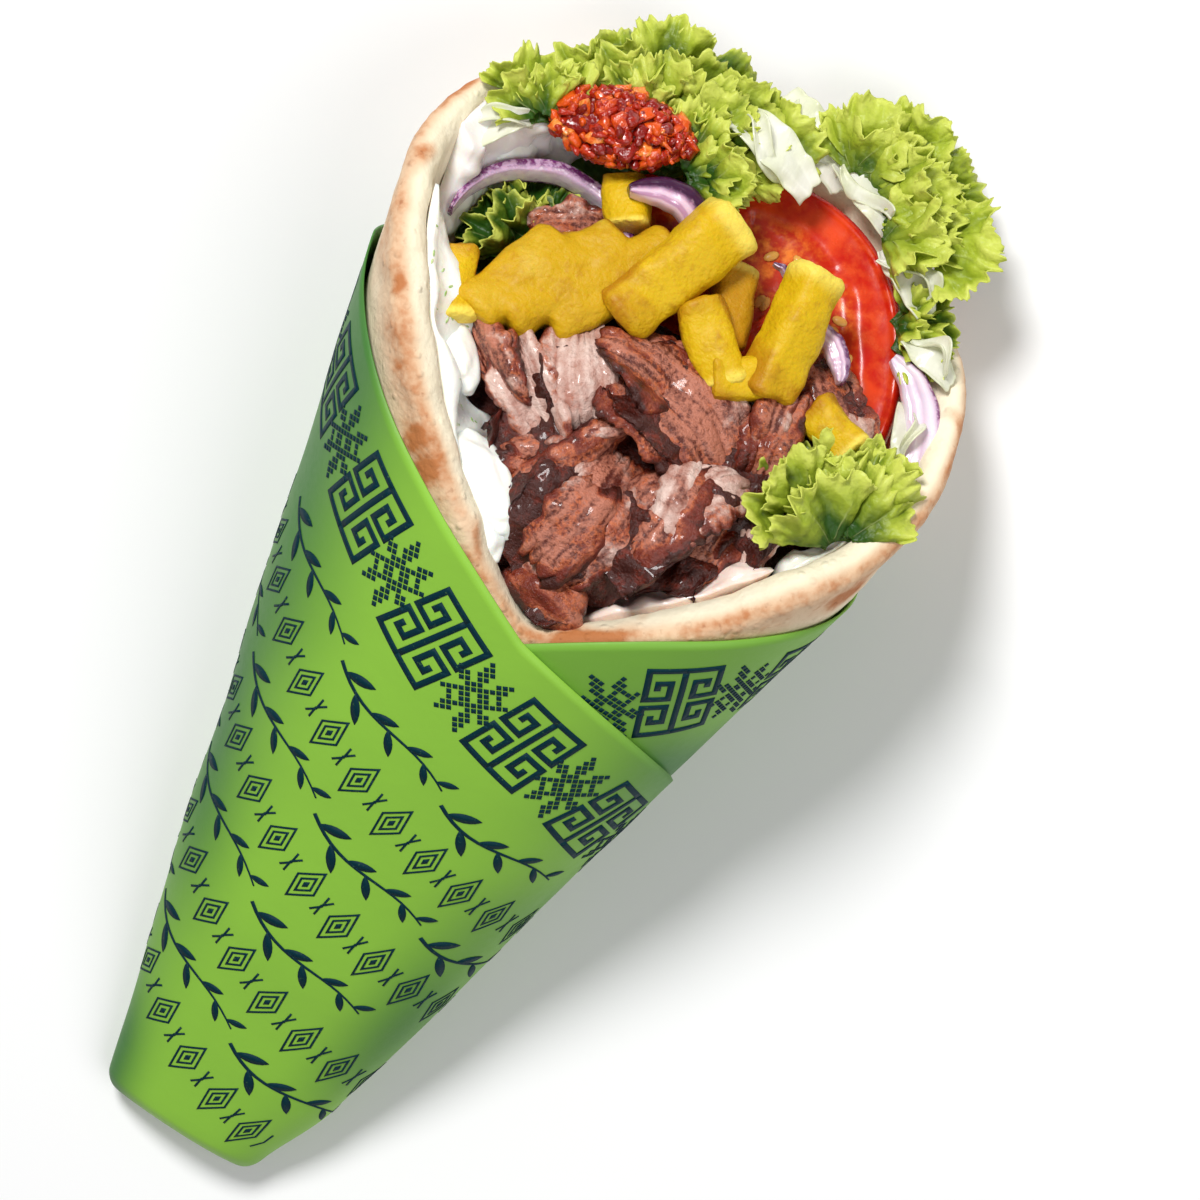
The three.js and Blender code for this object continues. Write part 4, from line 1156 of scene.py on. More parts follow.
def build_bread(settings):
    degrees = np.arange(480) * 0.75
    top = rim_y(degrees) + 0.9 * noise(flat_points(degrees, 0.0), 17, 2)
    inner = -bread_thickness(degrees)
    lip, foot_y, shoulder_y = 3.2, 3, 95
    side = top - lip - 0.5
    low = np.linspace(0, 1, 14)[:, None]
    high = np.linspace(0, 1, 50)[1:, None]
    outside_y = np.concatenate([[0.5 + 0 * side],
                                foot_y + (shoulder_y - foot_y) * low + 0 * side,
                                shoulder_y + (side - shoulder_y) * high])
    outside = np.zeros_like(outside_y)
    outside[0] = -1
    lean = np.radians(np.linspace(0, 180, 19))[:, None]
    lip_y = top - lip * (1 - np.sin(lean))
    lip_offset = inner - inner * (1 + np.cos(lean)) / 2
    inside_y = side + (BREAD["floor_y"] - side) * np.linspace(0, 1, 40)[:, None] ** 1.3
    y = np.concatenate([outside_y, lip_y, inside_y])
    offset = np.concatenate([outside, lip_offset, inner + 0 * inside_y])
    base = cone(degrees, y, offset)
    normal = grid_normals(base, wrap=True)
    radial = joined(np.sin(np.radians(degrees)), 0.0, np.cos(np.radians(degrees)))
    if np.sum(normal[20] * radial) < 0:
        normal = -normal
    relief = settings.relief / MM
    lumps = (relief * layered(base, 13, 11, 2) + 0.45 * relief * noise(base, 3.6, 14)
             + 0.15 * relief * noise(base, 1.3, 15))
    outer = np.concatenate([np.ones(len(outside_y)), (1 + np.cos(lean[:, 0])) / 2,
                            np.zeros(len(inside_y))])[:, None]
    lapped = degrees < PAPER["end"] - 360
    covered = np.maximum(paper_top(degrees), paper_top(degrees + 360) * lapped)
    bare = 1 - outer * (1 - smooth(-3, 4, y - covered))
    foot = smooth(0.4, 2.5, base[..., 2])
    points = base + normal * (lumps * bare * foot)[..., None]
    around = flat_points(degrees / 4, 0.0)
    patches = smooth(0.1, 0.75, layered(base, 15, 31, 2))
    edge_band = np.exp(-((offset + 1.0) / 1.6) ** 2) * smooth(-16, -2, y - top)
    toast = (0.6 * patches * (0.3 + 0.9 * outer) + 0.6 * edge_band * (0.7 + 0.5 * noise(
        around, 6, 33)) + 0.35 * outer * smooth(-60, 0, y - top))
    toast = toast + 0.6 * smooth(0.35, 0.8, noise(base, 7, 35)) * smooth(-25, -1, y - top)
    shape = Shape().tube(points, toast=np.clip(toast, 0, 1.2))
    shape.piece("pita_bread", bread_finish(settings), "bread", "pita")


# ---------------------------------------------------------------- fries


def fry_rings(size, seed):
    """Rings of a cut fry along x: a painted highlight on its corners and one end, its sides
    browned, partly as painted shade, and painted shade on its other end.
    """
    count, sides = 40, 44
    long, wide, thick = size
    random = seeded(seed)
    bow = 1.2 * (next(random) - 0.5)
    share = np.sin(np.linspace(-math.pi / 2, math.pi / 2, count))
    share = (0.55 * share + 0.45 * squared(share, 0.5))[:, None]
    angle = np.linspace(0, math.tau, sides, endpoint=False)
    corner, rise = squared(np.cos(angle), 0.66), squared(np.sin(angle), 0.66)
    end = np.clip((np.abs(share) - 0.86) / 0.14, 0, 1)
    scale = 0.97 * (1 - 0.24 * end**2.4)
    lean = 0.5 * math.sin(seed) * np.sign(share) * (np.abs(share) > 0.7)
    x = share * long / 2 + lean * corner * 0.6
    y = corner * wide / 2 * scale + bow * (1 - share**2)
    z = rise * thick / 2 * scale
    rings = joined(x, y, z)
    local = rings + 40 * seed
    out = grid_normals(rings, wrap=True)
    if np.sum(out * rings) < 0:
        out = -out
    lumps = (0.6 * noise(local, 6.0, 1) + 0.26 * noise(local, 2.6, 2)
             + 0.09 * noise(local, 1.0, 3) - 0.3 * end * np.abs(noise(local, 2.0, 4)))
    rings = rings + out * lumps[..., None]
    # Painted highlight: the corners are paler, and one end paler still, as if lit; the sides are
    # browned, partly as painted shade, and the other end is in painted shade.
    edges = smooth(0.3, 0.5, np.abs(np.cos(angle) * np.sin(angle))) + 0 * share
    cut_side = smooth(0.75, 0.95, np.abs(np.cos(angle))) + 0 * share
    light = np.maximum(0.25 * edges, 1.1 * smooth(0.45, 1.0, share) + 0 * edges)
    return rings, {"edge": light, "side": 0.4 * cut_side + 0.75 * smooth(0.1, -0.9, share)}


def build_fries(settings):
    finish = fry_finish(settings)
    for name, fry in FRIES.items():
        rings, values = fry_rings(fry["size"], fry["seed"])
        shape = Shape().tube(placed(rings, fry), tone=FRY_TONE.get(name, 0.1), **values)
        shape.piece(name + "_cut", finish, "potato", name)
    heap = Shape()
    for fry in FRY_CLUSTER:
        rings, _ = fry_rings(fry["size"], fry["seed"])
        heap.tube(placed(rings, fry))
    for one, two in zip(FRY_CLUSTER, FRY_CLUSTER[1:]):  # a short fry joins each two
        at = (np.array(one["at"]) + two["at"]) / 2
        rings, _ = fry_rings((15, 6, 7.5), one["seed"] + 40)
        heap.tube(placed(rings, dict(at=at, spin=one["spin"])))
    points, faces, normals = skinned(heap, 0.42, 10)
    lumps = (0.35 * noise(points, 6, 21) + 0.12 * noise(points, 2.6, 22)
             + 0.07 * noise(points, 1.0, 23))
    points = points + normals * lumps[:, None]
    edge = smooth(-0.2, 0.6, noise(points, 7, 24)) * 0.5
    # Painted shade: faces that turn down get a darker tone and a higher side value.
    low = smooth(0.35, -0.2, normals[:, 2])
    values = {"edge": edge, "tone": 0.4 + 0.5 * low, "side": low}
    Shape().add(points, faces, values).piece("fry_cluster_cut", finish, "potato", "fry_cluster")


# ---------------------------------------------------------------- tomato and onion


def build_tomato(settings):
    """A round slice: skin, wall, and pockets of seeds in gel between its ribs."""
    radius, half, bevel = TOMATO["radius"], TOMATO["thick"] / 2, 1.6
    face_rows, edge_rows = 64, 17
    angle = np.linspace(0, math.tau, 288, endpoint=False)
    face = np.linspace(0.02, 1, face_rows)
    edge = np.radians(np.linspace(85, -85, edge_rows))
    radius_rows = np.concatenate([(radius - bevel) * face, radius - bevel + bevel * np.cos(edge),
                                  (radius - bevel) * face[::-1]])
    height_rows = np.concatenate([half + 0 * face, half * squared(np.sin(edge), 0.8),
                                  -half + 0 * face])
    r, up = radius_rows[:, None], height_rows[:, None]
    way_out = np.concatenate([np.ones(face_rows), np.zeros(edge_rows), -np.ones(face_rows)])
    lobes = 1 + 0.012 * np.cos(5 * angle + 0.6)
    share = r / radius
    wobble = 0.5 * noise(flat_points(np.cos(angle) * 3, np.sin(angle) * 3), 1.2, 7)
    ribs = np.abs(np.sin(TOMATO["ribs"] * angle + TOMATO["phase"] + wobble))
    pocket = (smooth(0.25, 0.5, ribs) * smooth(0.2, 0.34, share)
              * smooth(0.8, 0.7, share + 0.06 * wobble))
    skin = smooth(0.955, 0.985, share)
    place = joined(r * np.cos(angle), r * np.sin(angle), up)
    sunk = (-1.1 * pocket + 0.12 * np.exp(-((share - 0.93) / 0.035) ** 2)
            - 0.3 * np.exp(-((share - 0.955) / 0.012) ** 2)
            + 0.1 * layered(place, 4, 3, 3) + 0.05 * pocket * noise(place, 1.6, 5))
    z = up + way_out[:, None] * sunk
    points = joined(r * lobes * np.cos(angle) * 1.02, r * lobes * np.sin(angle) * 0.98, z)
    shape = Shape().tube(placed(points, TOMATO), skin=skin, gel=pocket, seed=0.0)
    random = np.random.default_rng(12)
    for _ in range(90):
        at, out = random.uniform(0, math.tau), random.uniform(0.36, 0.74)
        if abs(math.sin(TOMATO["ribs"] * at + TOMATO["phase"])) < 0.6:
            continue  # on a rib
        spin = random.uniform(0, math.tau)
        ring = ball(7, 10) * (0.75, 1.3, 0.35) @ np.array(Matrix.Rotation(spin, 3, "Z")).T
        centre = radius * out * np.array([math.cos(at), math.sin(at), 0]) + (0, 0, half - 0.95)
        shape.tube(placed(ring + centre, TOMATO), skin=0.0, gel=0.0, seed=0.8)
    shape.piece("tomato_round", tomato_finish(settings), "tomato", "tomato_slice")


def build_onions(settings):
    finish = onion_finish(settings)
    for index, (name, onion) in enumerate(ONIONS.items()):
        first, last = onion["span"]
        share = np.linspace(0, 1, max(36, int((last - first) * 0.9)))[:, None]
        angle = np.radians(first + (last - first) * share)
        narrow = np.maximum(0.3, np.sqrt(np.sin(math.pi * (0.03 + 0.94 * share))))
        turn = np.linspace(0, math.tau, 40, endpoint=False)
        side, rise = squared(np.cos(turn), 0.55), squared(np.sin(turn), 0.6)
        out = side * onion["wide"] / 2 * narrow
        up = rise * onion["high"] / 2 * (0.55 + 0.45 * narrow)
        reach = onion["radius"] - onion["wide"] / 2 + out
        line = 0.5 + 0.5 * np.cos(side * 9 + 0.6 * np.sin(5 * share + index))
        wave = 0.25 * noise(flat_points(share * 40 + 0 * side, rise + 9 * index), 6, 4)
        points = joined((reach + wave) * np.cos(angle), (reach + wave) * np.sin(angle),
                        up + wave - 0.1 * line * np.abs(rise))
        depth = (side / 2 + 0.5 - 1) / onion["skin"] + 1.0
        shape = Shape().tube(placed(points, onion), line=line, blush=onion["blush"],
                             out=np.clip(depth + 0.5 * (rise < -0.6) + 0 * share, 0, 1))
        shape.piece(name + "_cut", finish, "onion", name)


# ---------------------------------------------------------------- leaves and strips


def frilled_sheet(leaf, thickness, columns, rows, seed, rooted):
    """One frilled sheet of leaf: the grids of its two faces and the values along it.

    It fans out from its root by the spread to each side, and rooted moves and turns it in the
    leaf's own plane: x, y, turn in degrees, rise and tilt in degrees.
    """
    lobes, root, reach = leaf["lobes"], leaf["root"], leaf["reach"]
    side = np.linspace(-1, 1, columns)[None, :]
    along = np.linspace(0, 1, rows)[:, None]
    angle = math.radians(leaf["spread"]) * side
    beat = lobes * math.pi * side + leaf["phase"] + 0.7 * np.sin(2 * side + leaf["drift"])
    arc, inward = reach * angle, reach * along
    spots = flat_points(arc * (0.3 + 0.7 * along), inward + 7.0 * seed)
    edge = flat_points(arc, 0 * along + 9.0 * seed)
    teeth = (1.0 * noise(edge, 4.2, 1) + 1.5 * (0.35 - np.abs(noise(edge, 2.0, 2)))
             + 0.8 * (0.3 - np.abs(noise(edge, 1.0, 3))))
    ragged = 1 - 0.2 * side**4 + smooth(0.5, 1, along) * 1.6 * teeth / reach
    curl = noise(edge + (0, 7, 0), 2.4, 5) + 0.5 * noise(edge, 1.2, 6)
    lift = (leaf["wave"] * along**1.4 * np.sin(beat) + leaf["cup"] * side**2 * along
            + along * (leaf["puff"] * noise(spots, 7, 7) + 0.9 * noise(spots, 3.2, 8))
            + 1.9 * along**5 * curl + 0.25 * noise(spots, 1.6, 9)
            + 0.6 * along**3 * np.sin(2.6 * beat + 3 * noise(spots, 3, 12)))
    out = root + (reach - root) * along * ragged - 1.0 * along**8 * np.abs(curl)
    bend = angle + along**2 * 0.9 * noise(spots, 5, 10) / reach
    x, y, turn, rise, tilt = rooted
    local = np.stack([out * np.cos(bend), out * np.sin(bend), lift], -1)
    lean = turning("Z", turn) @ turning("Y", -tilt)
    middle = placed(local @ lean[:3, :3].T + (x, y, rise), leaf)
    branch = np.abs(np.sin(lobes * 2 * side + 0.6 * noise(spots, 6, 11) + leaf["phase"]))
    # ridge rises with the sheet, so raised parts get a painted highlight and hollows get painted
    # shade.
    values = {"tip": along + 0 * side, "ridge": np.clip(0.45 + 0.2 * lift, 0, 1),
              "vein": smooth(0.16, 0.0, branch) * smooth(0.9, 0.2, along)}
    reach_out = grid_normals(middle) * (thickness / 2 * (1 - 0.5 * along))[..., None]
    return middle + reach_out, middle - reach_out, values


def add_leaf(shape, leaf, thickness):
    """The leaf's own sheet, and small frilled lobes that crowd over it."""
    random = seeded(leaf["seed"])
    phase, drift = (next(random) * math.tau for _ in range(2))
    whole = dict(leaf, root=leaf.get("root", 3), phase=phase, drift=drift,
                 wave=0.6 * leaf["wave"], puff=1.6)
    front, back, values = frilled_sheet(whole, thickness, 36 * leaf["lobes"], 32,
                                        leaf["seed"], (0, 0, 0, 0, 0))
    # Painted shade: the base sheet stays dark except at its rim, so the gaps between the lobes
    # over it look shaded.
    values["tip"] = values["tip"] ** 5
    values["ridge"] = 0.3 * values["ridge"]
    shape.sheet(front, back, **values)
    reach, spread = leaf["reach"], leaf["spread"]
    for index in range(leaf["frills"]):
        share = next(random)
        at = spread * (2 * (index + 0.5) / leaf["frills"] - 1) * 0.9 + 8 * (share - 0.5)
        size = min(0.52 * reach, 9.5) * (0.7 + 0.55 * next(random))
        deep = reach * (1.02 - 0.5 * ((index * 0.62) % 1)) - size + 3.0 * (next(random) - 0.5)
        deep = max(deep, 0.9 * whole["root"])
        lobe = dict(whole, lobes=2, root=0.8, reach=size, spread=50 + 25 * share, wave=1.7,
                    puff=1.2, cup=-0.6, phase=share * 9, drift=share * 5)
        spot = (deep * math.cos(math.radians(at)), deep * math.sin(math.radians(at)),
                at + 50 * (next(random) - 0.5), 0.2 + 1.6 * next(random),
                14 + 28 * next(random))
        seed = leaf["seed"] + 3 * index + 100
        front, back, values = frilled_sheet(lobe, thickness, 82, 20, seed, spot)
        shape.sheet(front, back, **values)


def build_leaves(settings):
    finish = leaf_finish(settings, "lettuce", 0.0)
    finishes = {"leaf_inner": leaf_finish(settings, "shaded_lettuce", 0.22),
                "leaf_right": leaf_finish(settings, "sunlit_lettuce", -0.12)}
    for name, leaf in LEAVES.items():
        shape = Shape()
        add_leaf(shape, leaf, settings.leaf_thickness / MM)
        shape.piece(name + "_frill", finishes.get(name, finish), "lettuce", name)
    points, faces, normals = skinned(solid_copy("salad"), 1.0, 2)
    folds = 1.3 * noise(points, (5, 5, 2.2), 41) + 0.7 * noise(points, (2.4, 2.4, 1.3), 42)
    points = points + normals * (np.minimum(folds, 0.4) - 0.4)[:, None]
    ridge = np.clip(0.4 + 0.4 * folds, 0, 1)
    # Painted shade: the bed deep under the meat is dark, with a painted highlight only on its
    # raised folds.
    shaded_bed_finish = leaf_finish(settings, "shaded_packed_lettuce", 0.5)
    bed = Shape().add(points, faces, {"tip": 0.2, "ridge": ridge, "vein": 0.0})
    bed.piece("salad_bed", shaded_bed_finish, "lettuce", "salad")


def build_strips(settings):
    finish = strip_finish(settings)
    for index, (name, strip) in enumerate(STRIPS.items()):
        shape = Shape()
        for second in (0, 1):
            add_strip(shape, strip, index + 7 * second, second)
        shape.piece(name + "_shred", finish, "cabbage", name)


def add_strip(shape, strip, index, second):
    """A crumpled ribbon; the second one of a strip is shorter, narrower and more curled."""
    long, wide = strip["long"] * (1 - 0.25 * second), strip["wide"] * (1 - 0.5 * second)
    share = np.linspace(0, 1, 64)[:, None]
    across = np.linspace(-1, 1, 26)[None, :]
    place = flat_points(share * long + 0 * across, across * wide / 2) + 31.0 * index
    taper = 0.7 + 0.3 * np.sin(math.pi * share) + 0.09 * noise(place * (1, 0, 1), 3.0, 2)
    side = across * wide / 2 * taper + second * wide * np.cos(3 * share + index)
    turn = (np.radians(strip["twist"]) * (2 * share - 1) + 0.25 * noise(place, 7, 3)
            + second * (1.6 * share - 0.5))
    arch = strip["arch"] * (np.cos(math.pi * (share - 0.5)) - 0.5) + 1.3 * second
    cupped = (0.5 + 0.5 * second) * across**2 * (1 + 0.8 * np.sin(5 * share + index))
    ripple = 0.8 * noise(place, 4.5, 5) + 1.1 * np.abs(across) ** 3 * noise(place, 2.6, 6)
    run = (share - 0.5) * long + 0.5 * noise(place * (0, 1, 1), 2.2, 8)
    rise = arch + side * np.sin(turn) + cupped + ripple
    points = placed(joined(run, side * np.cos(turn), rise), strip)
    reach = grid_normals(points) * (0.28 - 0.16 * np.abs(across) ** 3)[..., None]
    edge = np.maximum(np.abs(across), np.abs(2 * share - 1) ** 4)
    shape.sheet(points + reach, points - reach, edge=edge)


# ---------------------------------------------------------------- sauces and relish


def sauce_grid(sauce):
    """The wall side and the free side of a layer of sauce on the inside of the bread.

    Also how far each point is up the layer and round it, as shares.
    """
    phase = next(seeded(sauce["seed"])) * 6
    share = np.linspace(0, 1, 110)[:, None]
    deep = np.linspace(0, 1, 40)[None, :]
    first, last = sauce["span"]
    degrees = first + (last - first) * share + 0 * deep
    wall = -bread_thickness(degrees) - 0.25
    ragged = noise(flat_points(share * 9 + 0 * deep, sauce["seed"] * 3.0), 0.9, 1)
    y = rim_y(degrees) - sauce["below"] - sauce["depth"] * (1 - deep) + 0.8 * ragged * deep**4
    ends = np.sin(math.pi * np.clip(0.03 + 0.94 * share, 0, 1)) ** 0.35
    lump = 1 + 0.3 * np.sin(5 * share * math.pi + phase) * deep
    swell = 0.45 + 0.65 * deep**2 - 0.95 * smooth(0.86, 1.0, deep) ** 1.5
    thick = sauce["thick"] * ends * lump * np.maximum(swell, 0.05)
    base = cone(degrees, y, wall)
    free = cone(degrees, y, wall - thick)
    blobs = 1.3 * noise(free, 7.0, sauce["seed"]) + 0.9 * noise(free, 3.2, 9)
    push = grid_normals(free) * (blobs * np.minimum(thick, 2.5) / 2 * ends)[..., None]
    return base, free + push, deep, share


def build_sauces(settings):
    finishes = {
        "tzatziki": sauce_finish("white_sauce", "fbf9f0", "efe9dc"),
        "sauce_corner": sauce_finish("thin_sauce", "f8f2ef", "e7d9d2"),
        "sauce_front": sauce_finish("pink_sauce", "fbe4d9", "eec0ae"),
        "sauce_right": sauce_finish("pale_sauce", "fbf6ea", "dfe3c8"),
    }
    hosts = Shape()
    for name, sauce in SAUCES.items():
        base, free, deep, share = sauce_grid(sauce)
        shape = Shape().sheet(free, base)
        if name == "tzatziki":
            for dollop in DOLLOPS:
                blob = ball(40, 60)
                swell = 1 + 0.15 * layered(blob, 0.9, dollop["seed"], 2)
                shape.tube(placed(blob * swell[..., None] * dollop["size"], dollop))
            show = smooth(0.7, 0.8, deep) * smooth(0.05, 0.15, share) * smooth(1, 0.9, share)
            hosts.sheet(free, base, show=show)
        shape.piece(name + "_layer", finishes[name], "sauce", name)
    host = hosts.mesh("herb_host", part_frame(np.concatenate(hosts.points)))
    flakes = scattered(host, Density=60000.0, Size=(0.0006, 0.00025, 0.0001), Spread=0.35, Seed=3)
    dressed("herb_flakes", flakes, herb_finish(), "sauce")


def build_relish(settings):
    """A heap of chopped pepper: flat wet bits over a core."""
    size = np.array(RELISH["size"], float)
    whole = ball(48, 80)
    lumps = 1 + 0.14 * noise(whole, 0.55, 2) + 0.05 * noise(whole, 0.25, 3)
    heap = Shape().tube(placed(whole * lumps[..., None] * (size - 0.9), RELISH), tone=0.1)
    bead = squared(ball(7, 10), 0.7)
    random = np.random.default_rng(8)
    for index in range(RELISH["bits"]):
        way = Vector(random.normal(size=3)).normalized()
        bit = random.uniform((0.6, 0.4, 0.35), (1.7, 1.1, 0.8)) * random.uniform(0.65, 1.3)
        body = bead * bit * (1 + 0.5 * noise(bead + 5.0 * index, 0.9, 7))[..., None]
        lean_over = (way.to_track_quat("Z", "Y").to_matrix()
                     @ Matrix.Rotation(random.normal() * 0.8, 3, "X")
                     @ Matrix.Rotation(random.uniform(0, math.tau), 3, "Z"))
        spot = np.array(way) * random.uniform(0.9, 1.12) * (size - 0.6)
        heap.tube(placed(body @ np.array(lean_over).T + spot, RELISH), tone=random.uniform(0, 1))
    heap.piece("relish_heap", relish_finish(settings), "relish", "relish")


# ---------------------------------------------------------------- meat


def add_slice(shape, item, detail):
    """A shaved slice: ragged outline, fibres along it, edges thin and browned."""
    long, wide, thick = item["size"]
    random = seeded(item["seed"])
    ragged = [0.78 + 0.3 * next(random) for _ in range(6)]
    phase = next(random) * 6
    rows, columns = int(76 * detail), int(44 * detail)
    u = np.linspace(-1, 1, rows)[:, None]
    v = np.linspace(-1, 1, columns)[None, :]
    seed = item["seed"]
    shift = 50.0 * seed
    nearest = np.interp((u + 1) / 2, np.linspace(0, 1, 6), ragged)
    tip = np.sqrt(np.maximum(0.13, 1 - 0.78 * u**2))
    rim_u = flat_points(u * long / 2 + 0 * v, np.sign(v) * 9.0 + shift)
    rim_v = flat_points(np.sign(u) * 9.0 + shift, v * wide / 2 + 0 * u)
    torn_side = 1 + 0.22 * noise(rim_u, 4.0, 1) + 0.1 * noise(rim_u, 1.3, 2)
    torn_end = 1 + 0.12 * noise(rim_v, 2.6, 3) + 0.1 * noise(rim_v, 0.9, 4)
    x = u * long / 2 * (0.9 + 0.12 * np.cos(2.2 * v + phase)) * torn_end * 1.04
    y = v * wide / 2 * nearest * tip * torn_side * 1.06
    edge = np.maximum(np.abs(u), np.abs(v))
    place = flat_points(x, y) + shift
    fold = 1.2 * noise(place, (11, 6, 11), 5) + 0.45 * noise(place, (5, 2.6, 4), 6)
    z = -item["bend"] * u**2 + 0.9 * np.sin(2.6 * v + phase) + 0.8 * u * v + fold
    z = z - 0.8 * edge**6
    fibre = 0.5 + 0.5 * noise(place, (7.0, 0.75, 7), 7)
    mark = 0.5 + 0.5 * layered(place, (7.0, 2.2, 7), 12, 3)
    crumb = noise(place, (1.7, 0.9, 1), 8) + 0.5 * noise(place, 0.8, 9)
    middle = placed(joined(x, y, z), item)
    normal = grid_normals(middle)
    body = thick / 2 * (0.5 * np.sqrt(np.clip(1 - edge**4, 0.0, 1)) + 0.08)
    relief = (0.3 * (fibre - 0.5) + 0.17 * crumb) * (0.45 + 0.55 * (1 - edge**4))
    pale, brown, rust = item["tone"]
    rim = smooth(0.7, 0.98, edge + 0.2 * noise(place, 2.5, 10))
    rim = rim * (0.3 + 0.7 * smooth(-0.3, 0.3, noise(place, 6, 11)))
    # One long side is darker: partly the slice's charred crust, partly painted shade for the gaps
    # between slices.
    charred_side_and_shade = smooth(0.1, -0.9, v + 0.5 * noise(place, 5, 13)) * (1 - 0.6 * pale)
    fat = smooth(0.3, 0.95, v + 0.5 * noise(place, 5, 14)) * (1 - brown)
    shape.sheet(middle + normal * (body + relief)[..., None],
                middle - normal * (body - 0.6 * relief)[..., None],
                pale=pale + 0.4 * fat, fibre=fibre, mark=mark,
                sear=0.5 * brown + 0.28 * rust + 0.55 * rim + 0.45 * charred_side_and_shade)


def slice_on_top(item, random):
    """A smaller slice that lies over a slice, with its own turn and tone."""
    long, wide, thick = item["size"]
    turn = math.radians(item["spin"])
    side = 1 if item["seed"] % 2 else -1
    along, across = 0.16 * side * long, 0.25 * wide * random.uniform(-1, 1)
    at = np.array(item["at"]) + (along * math.cos(turn) - across * math.sin(turn),
                                 along * math.sin(turn) + across * math.cos(turn), 1.2)
    spin = item["spin"] + random.uniform(-22, 22)
    lift = random.uniform(-10, 10)
    roll = item["roll"] + random.uniform(-14, 14)
    if item["tone"][1] > 0.25:
        tone = random.permutation([0.55, 0.3, 0.1])
    else:
        tone = (0.1, random.uniform(0.35, 0.8), random.uniform(0.1, 0.5))
    return dict(at=at, size=(0.7 * long, 0.66 * wide, 0.6 * thick), spin=spin, lift=lift,
                roll=roll, bend=2.0, seed=item["seed"] + 20, tone=tone)


def build_meat(settings):
    """A core painted near black as shade for the gaps between the slices, slices over it, and one
    slice behind the fries.
    """
    finish = meat_finish(settings)
    points, faces, normals = skinned(solid_copy("meat"), 0.75, 2)
    lumps = 0.8 * noise(points, (5, 3, 4), 51) + 0.4 * noise(points, 1.8, 52)
    points = points + normals * (np.minimum(lumps, 0.6) - 1.3)[:, None]
    points[:, 0] += 3 * smooth(-12, -22, points[:, 0]) * smooth(100, 115, points[:, 1])
    # Painted shade: the core is seared near black so that the gaps between the slices look dark.
    values = {"pale": 0.0, "sear": 0.9, "mark": 0.6,
              "fibre": 0.5 + 0.5 * noise(points, (0.8, 4, 2), 53)}
    Shape().add(points, faces, values).piece("meat_core", finish, "meat", "meat")
    slices, behind = Shape(), Shape()
    random = np.random.default_rng(17)
    for item in SLICES:
        add_slice(slices, item, 0.85)
        if item["tone"][0] <= 0.5:
            add_slice(slices, slice_on_top(item, random), 0.6)
    slices.piece("meat_slices", finish, "meat", "meat")
    add_slice(behind, SLICE_BEHIND, 1.0)
    behind.piece("meat_behind", finish, "meat", "meat_slice")


# ---------------------------------------------------------------- stage


FLOOR_REACH = 1.5
AIM = Vector((-12.4, 0.8, -23.9)) * MM  # the point that the camera looks at
LAMP_DISTANCE = 1.6
# Each lamp stands from the camera's line by shares to its right and up.
LAMPS = {"key": dict(right=-0.2, up=0.55, size=0.42, share=1.0),
         "fill": dict(right=0.5, up=-0.5, size=1.2, share=0.38)}


def facing(direction, top, distance, at):
    """The place of a thing that looks at a point from a direction, with its top to top."""
    back = direction.normalized()
    side = top.cross(back).normalized()
    turn = Matrix((side, back.cross(side), back)).transposed()
    return Matrix.Translation(at + back * distance) @ turn.to_4x4()


def build_stage(settings):
    """A pale floor, a camera that looks down on the wrap, two soft lamps and even light."""
    scene = bpy.context.scene
    floor = bpy.data.meshes.new("floor")
    low, high = -FLOOR_REACH, FLOOR_REACH
    corners = [(low, low, 0), (high, low, 0), (high, high, 0), (low, high, 0)]
    floor.from_pydata(corners, [], [(0, 1, 2, 3)])
    floor.materials.append(floor_finish())
    ground = bpy.data.objects.new("floor", floor)
    scene.collection.objects.link(ground)

    sin, cos = math.sin(settings.elevation), math.cos(settings.elevation)
    back = Vector((0, -cos, sin))
    level_right, level_up = Vector((-1, 0, 0)), Vector((0, -sin, -cos))
    right = math.cos(settings.roll) * level_right + math.sin(settings.roll) * level_up
    up = math.cos(settings.roll) * level_up - math.sin(settings.roll) * level_right

    camera = bpy.data.cameras.new("camera")
    camera.lens, camera.sensor_width = settings.lens, 36
    eye = bpy.data.objects.new("camera", camera)
    eye.matrix_world = facing(back, up, settings.distance, AIM)
    scene.collection.objects.link(eye)
    scene.camera = eye

    for name, lamp in LAMPS.items():
        made = bpy.data.lights.new(name, "AREA")
        made.shape, made.size = "DISK", lamp["size"]
        made.energy = settings.key_power * lamp["share"]
        light = bpy.data.objects.new(name, made)
        direction = back + lamp["right"] * right + lamp["up"] * up
        light.matrix_world = facing(direction, up, LAMP_DISTANCE, Vector((0, 0, 0.02)))
        scene.collection.objects.link(light)
    world = bpy.data.worlds.new("soft_room")
    world.use_nodes = True
    background = world.node_tree.nodes["Background"]
    background.inputs["Color"].default_value = (1, 1, 1, 1)
    background.inputs["Strength"].default_value = settings.sky
    scene.world = world
    scene.view_settings.view_transform = "Standard"


# ---------------------------------------------------------------- operators and panel


class WRAP_OT_paper(bpy.types.Operator):
    """Rolls the paper cone"""

    bl_idname = "wrap.paper"
    bl_label = "Paper cone"

    def execute(self, context):
        build_paper(context.scene.wrap_paper)
        return {"FINISHED"}


class WRAP_OT_print(bpy.types.Operator):
    """Prints the band of keys and stars and the rows below it"""

    bl_idname = "wrap.print"
    bl_label = "Print"

    def execute(self, context):
        build_print(context.scene.wrap_paper)
        return {"FINISHED"}


class WRAP_OT_bread(bpy.types.Operator):
    """Rolls the pita"""

    bl_idname = "wrap.bread"
    bl_label = "Pita"

    def execute(self, context):
        build_bread(context.scene.wrap_bread)
        return {"FINISHED"}


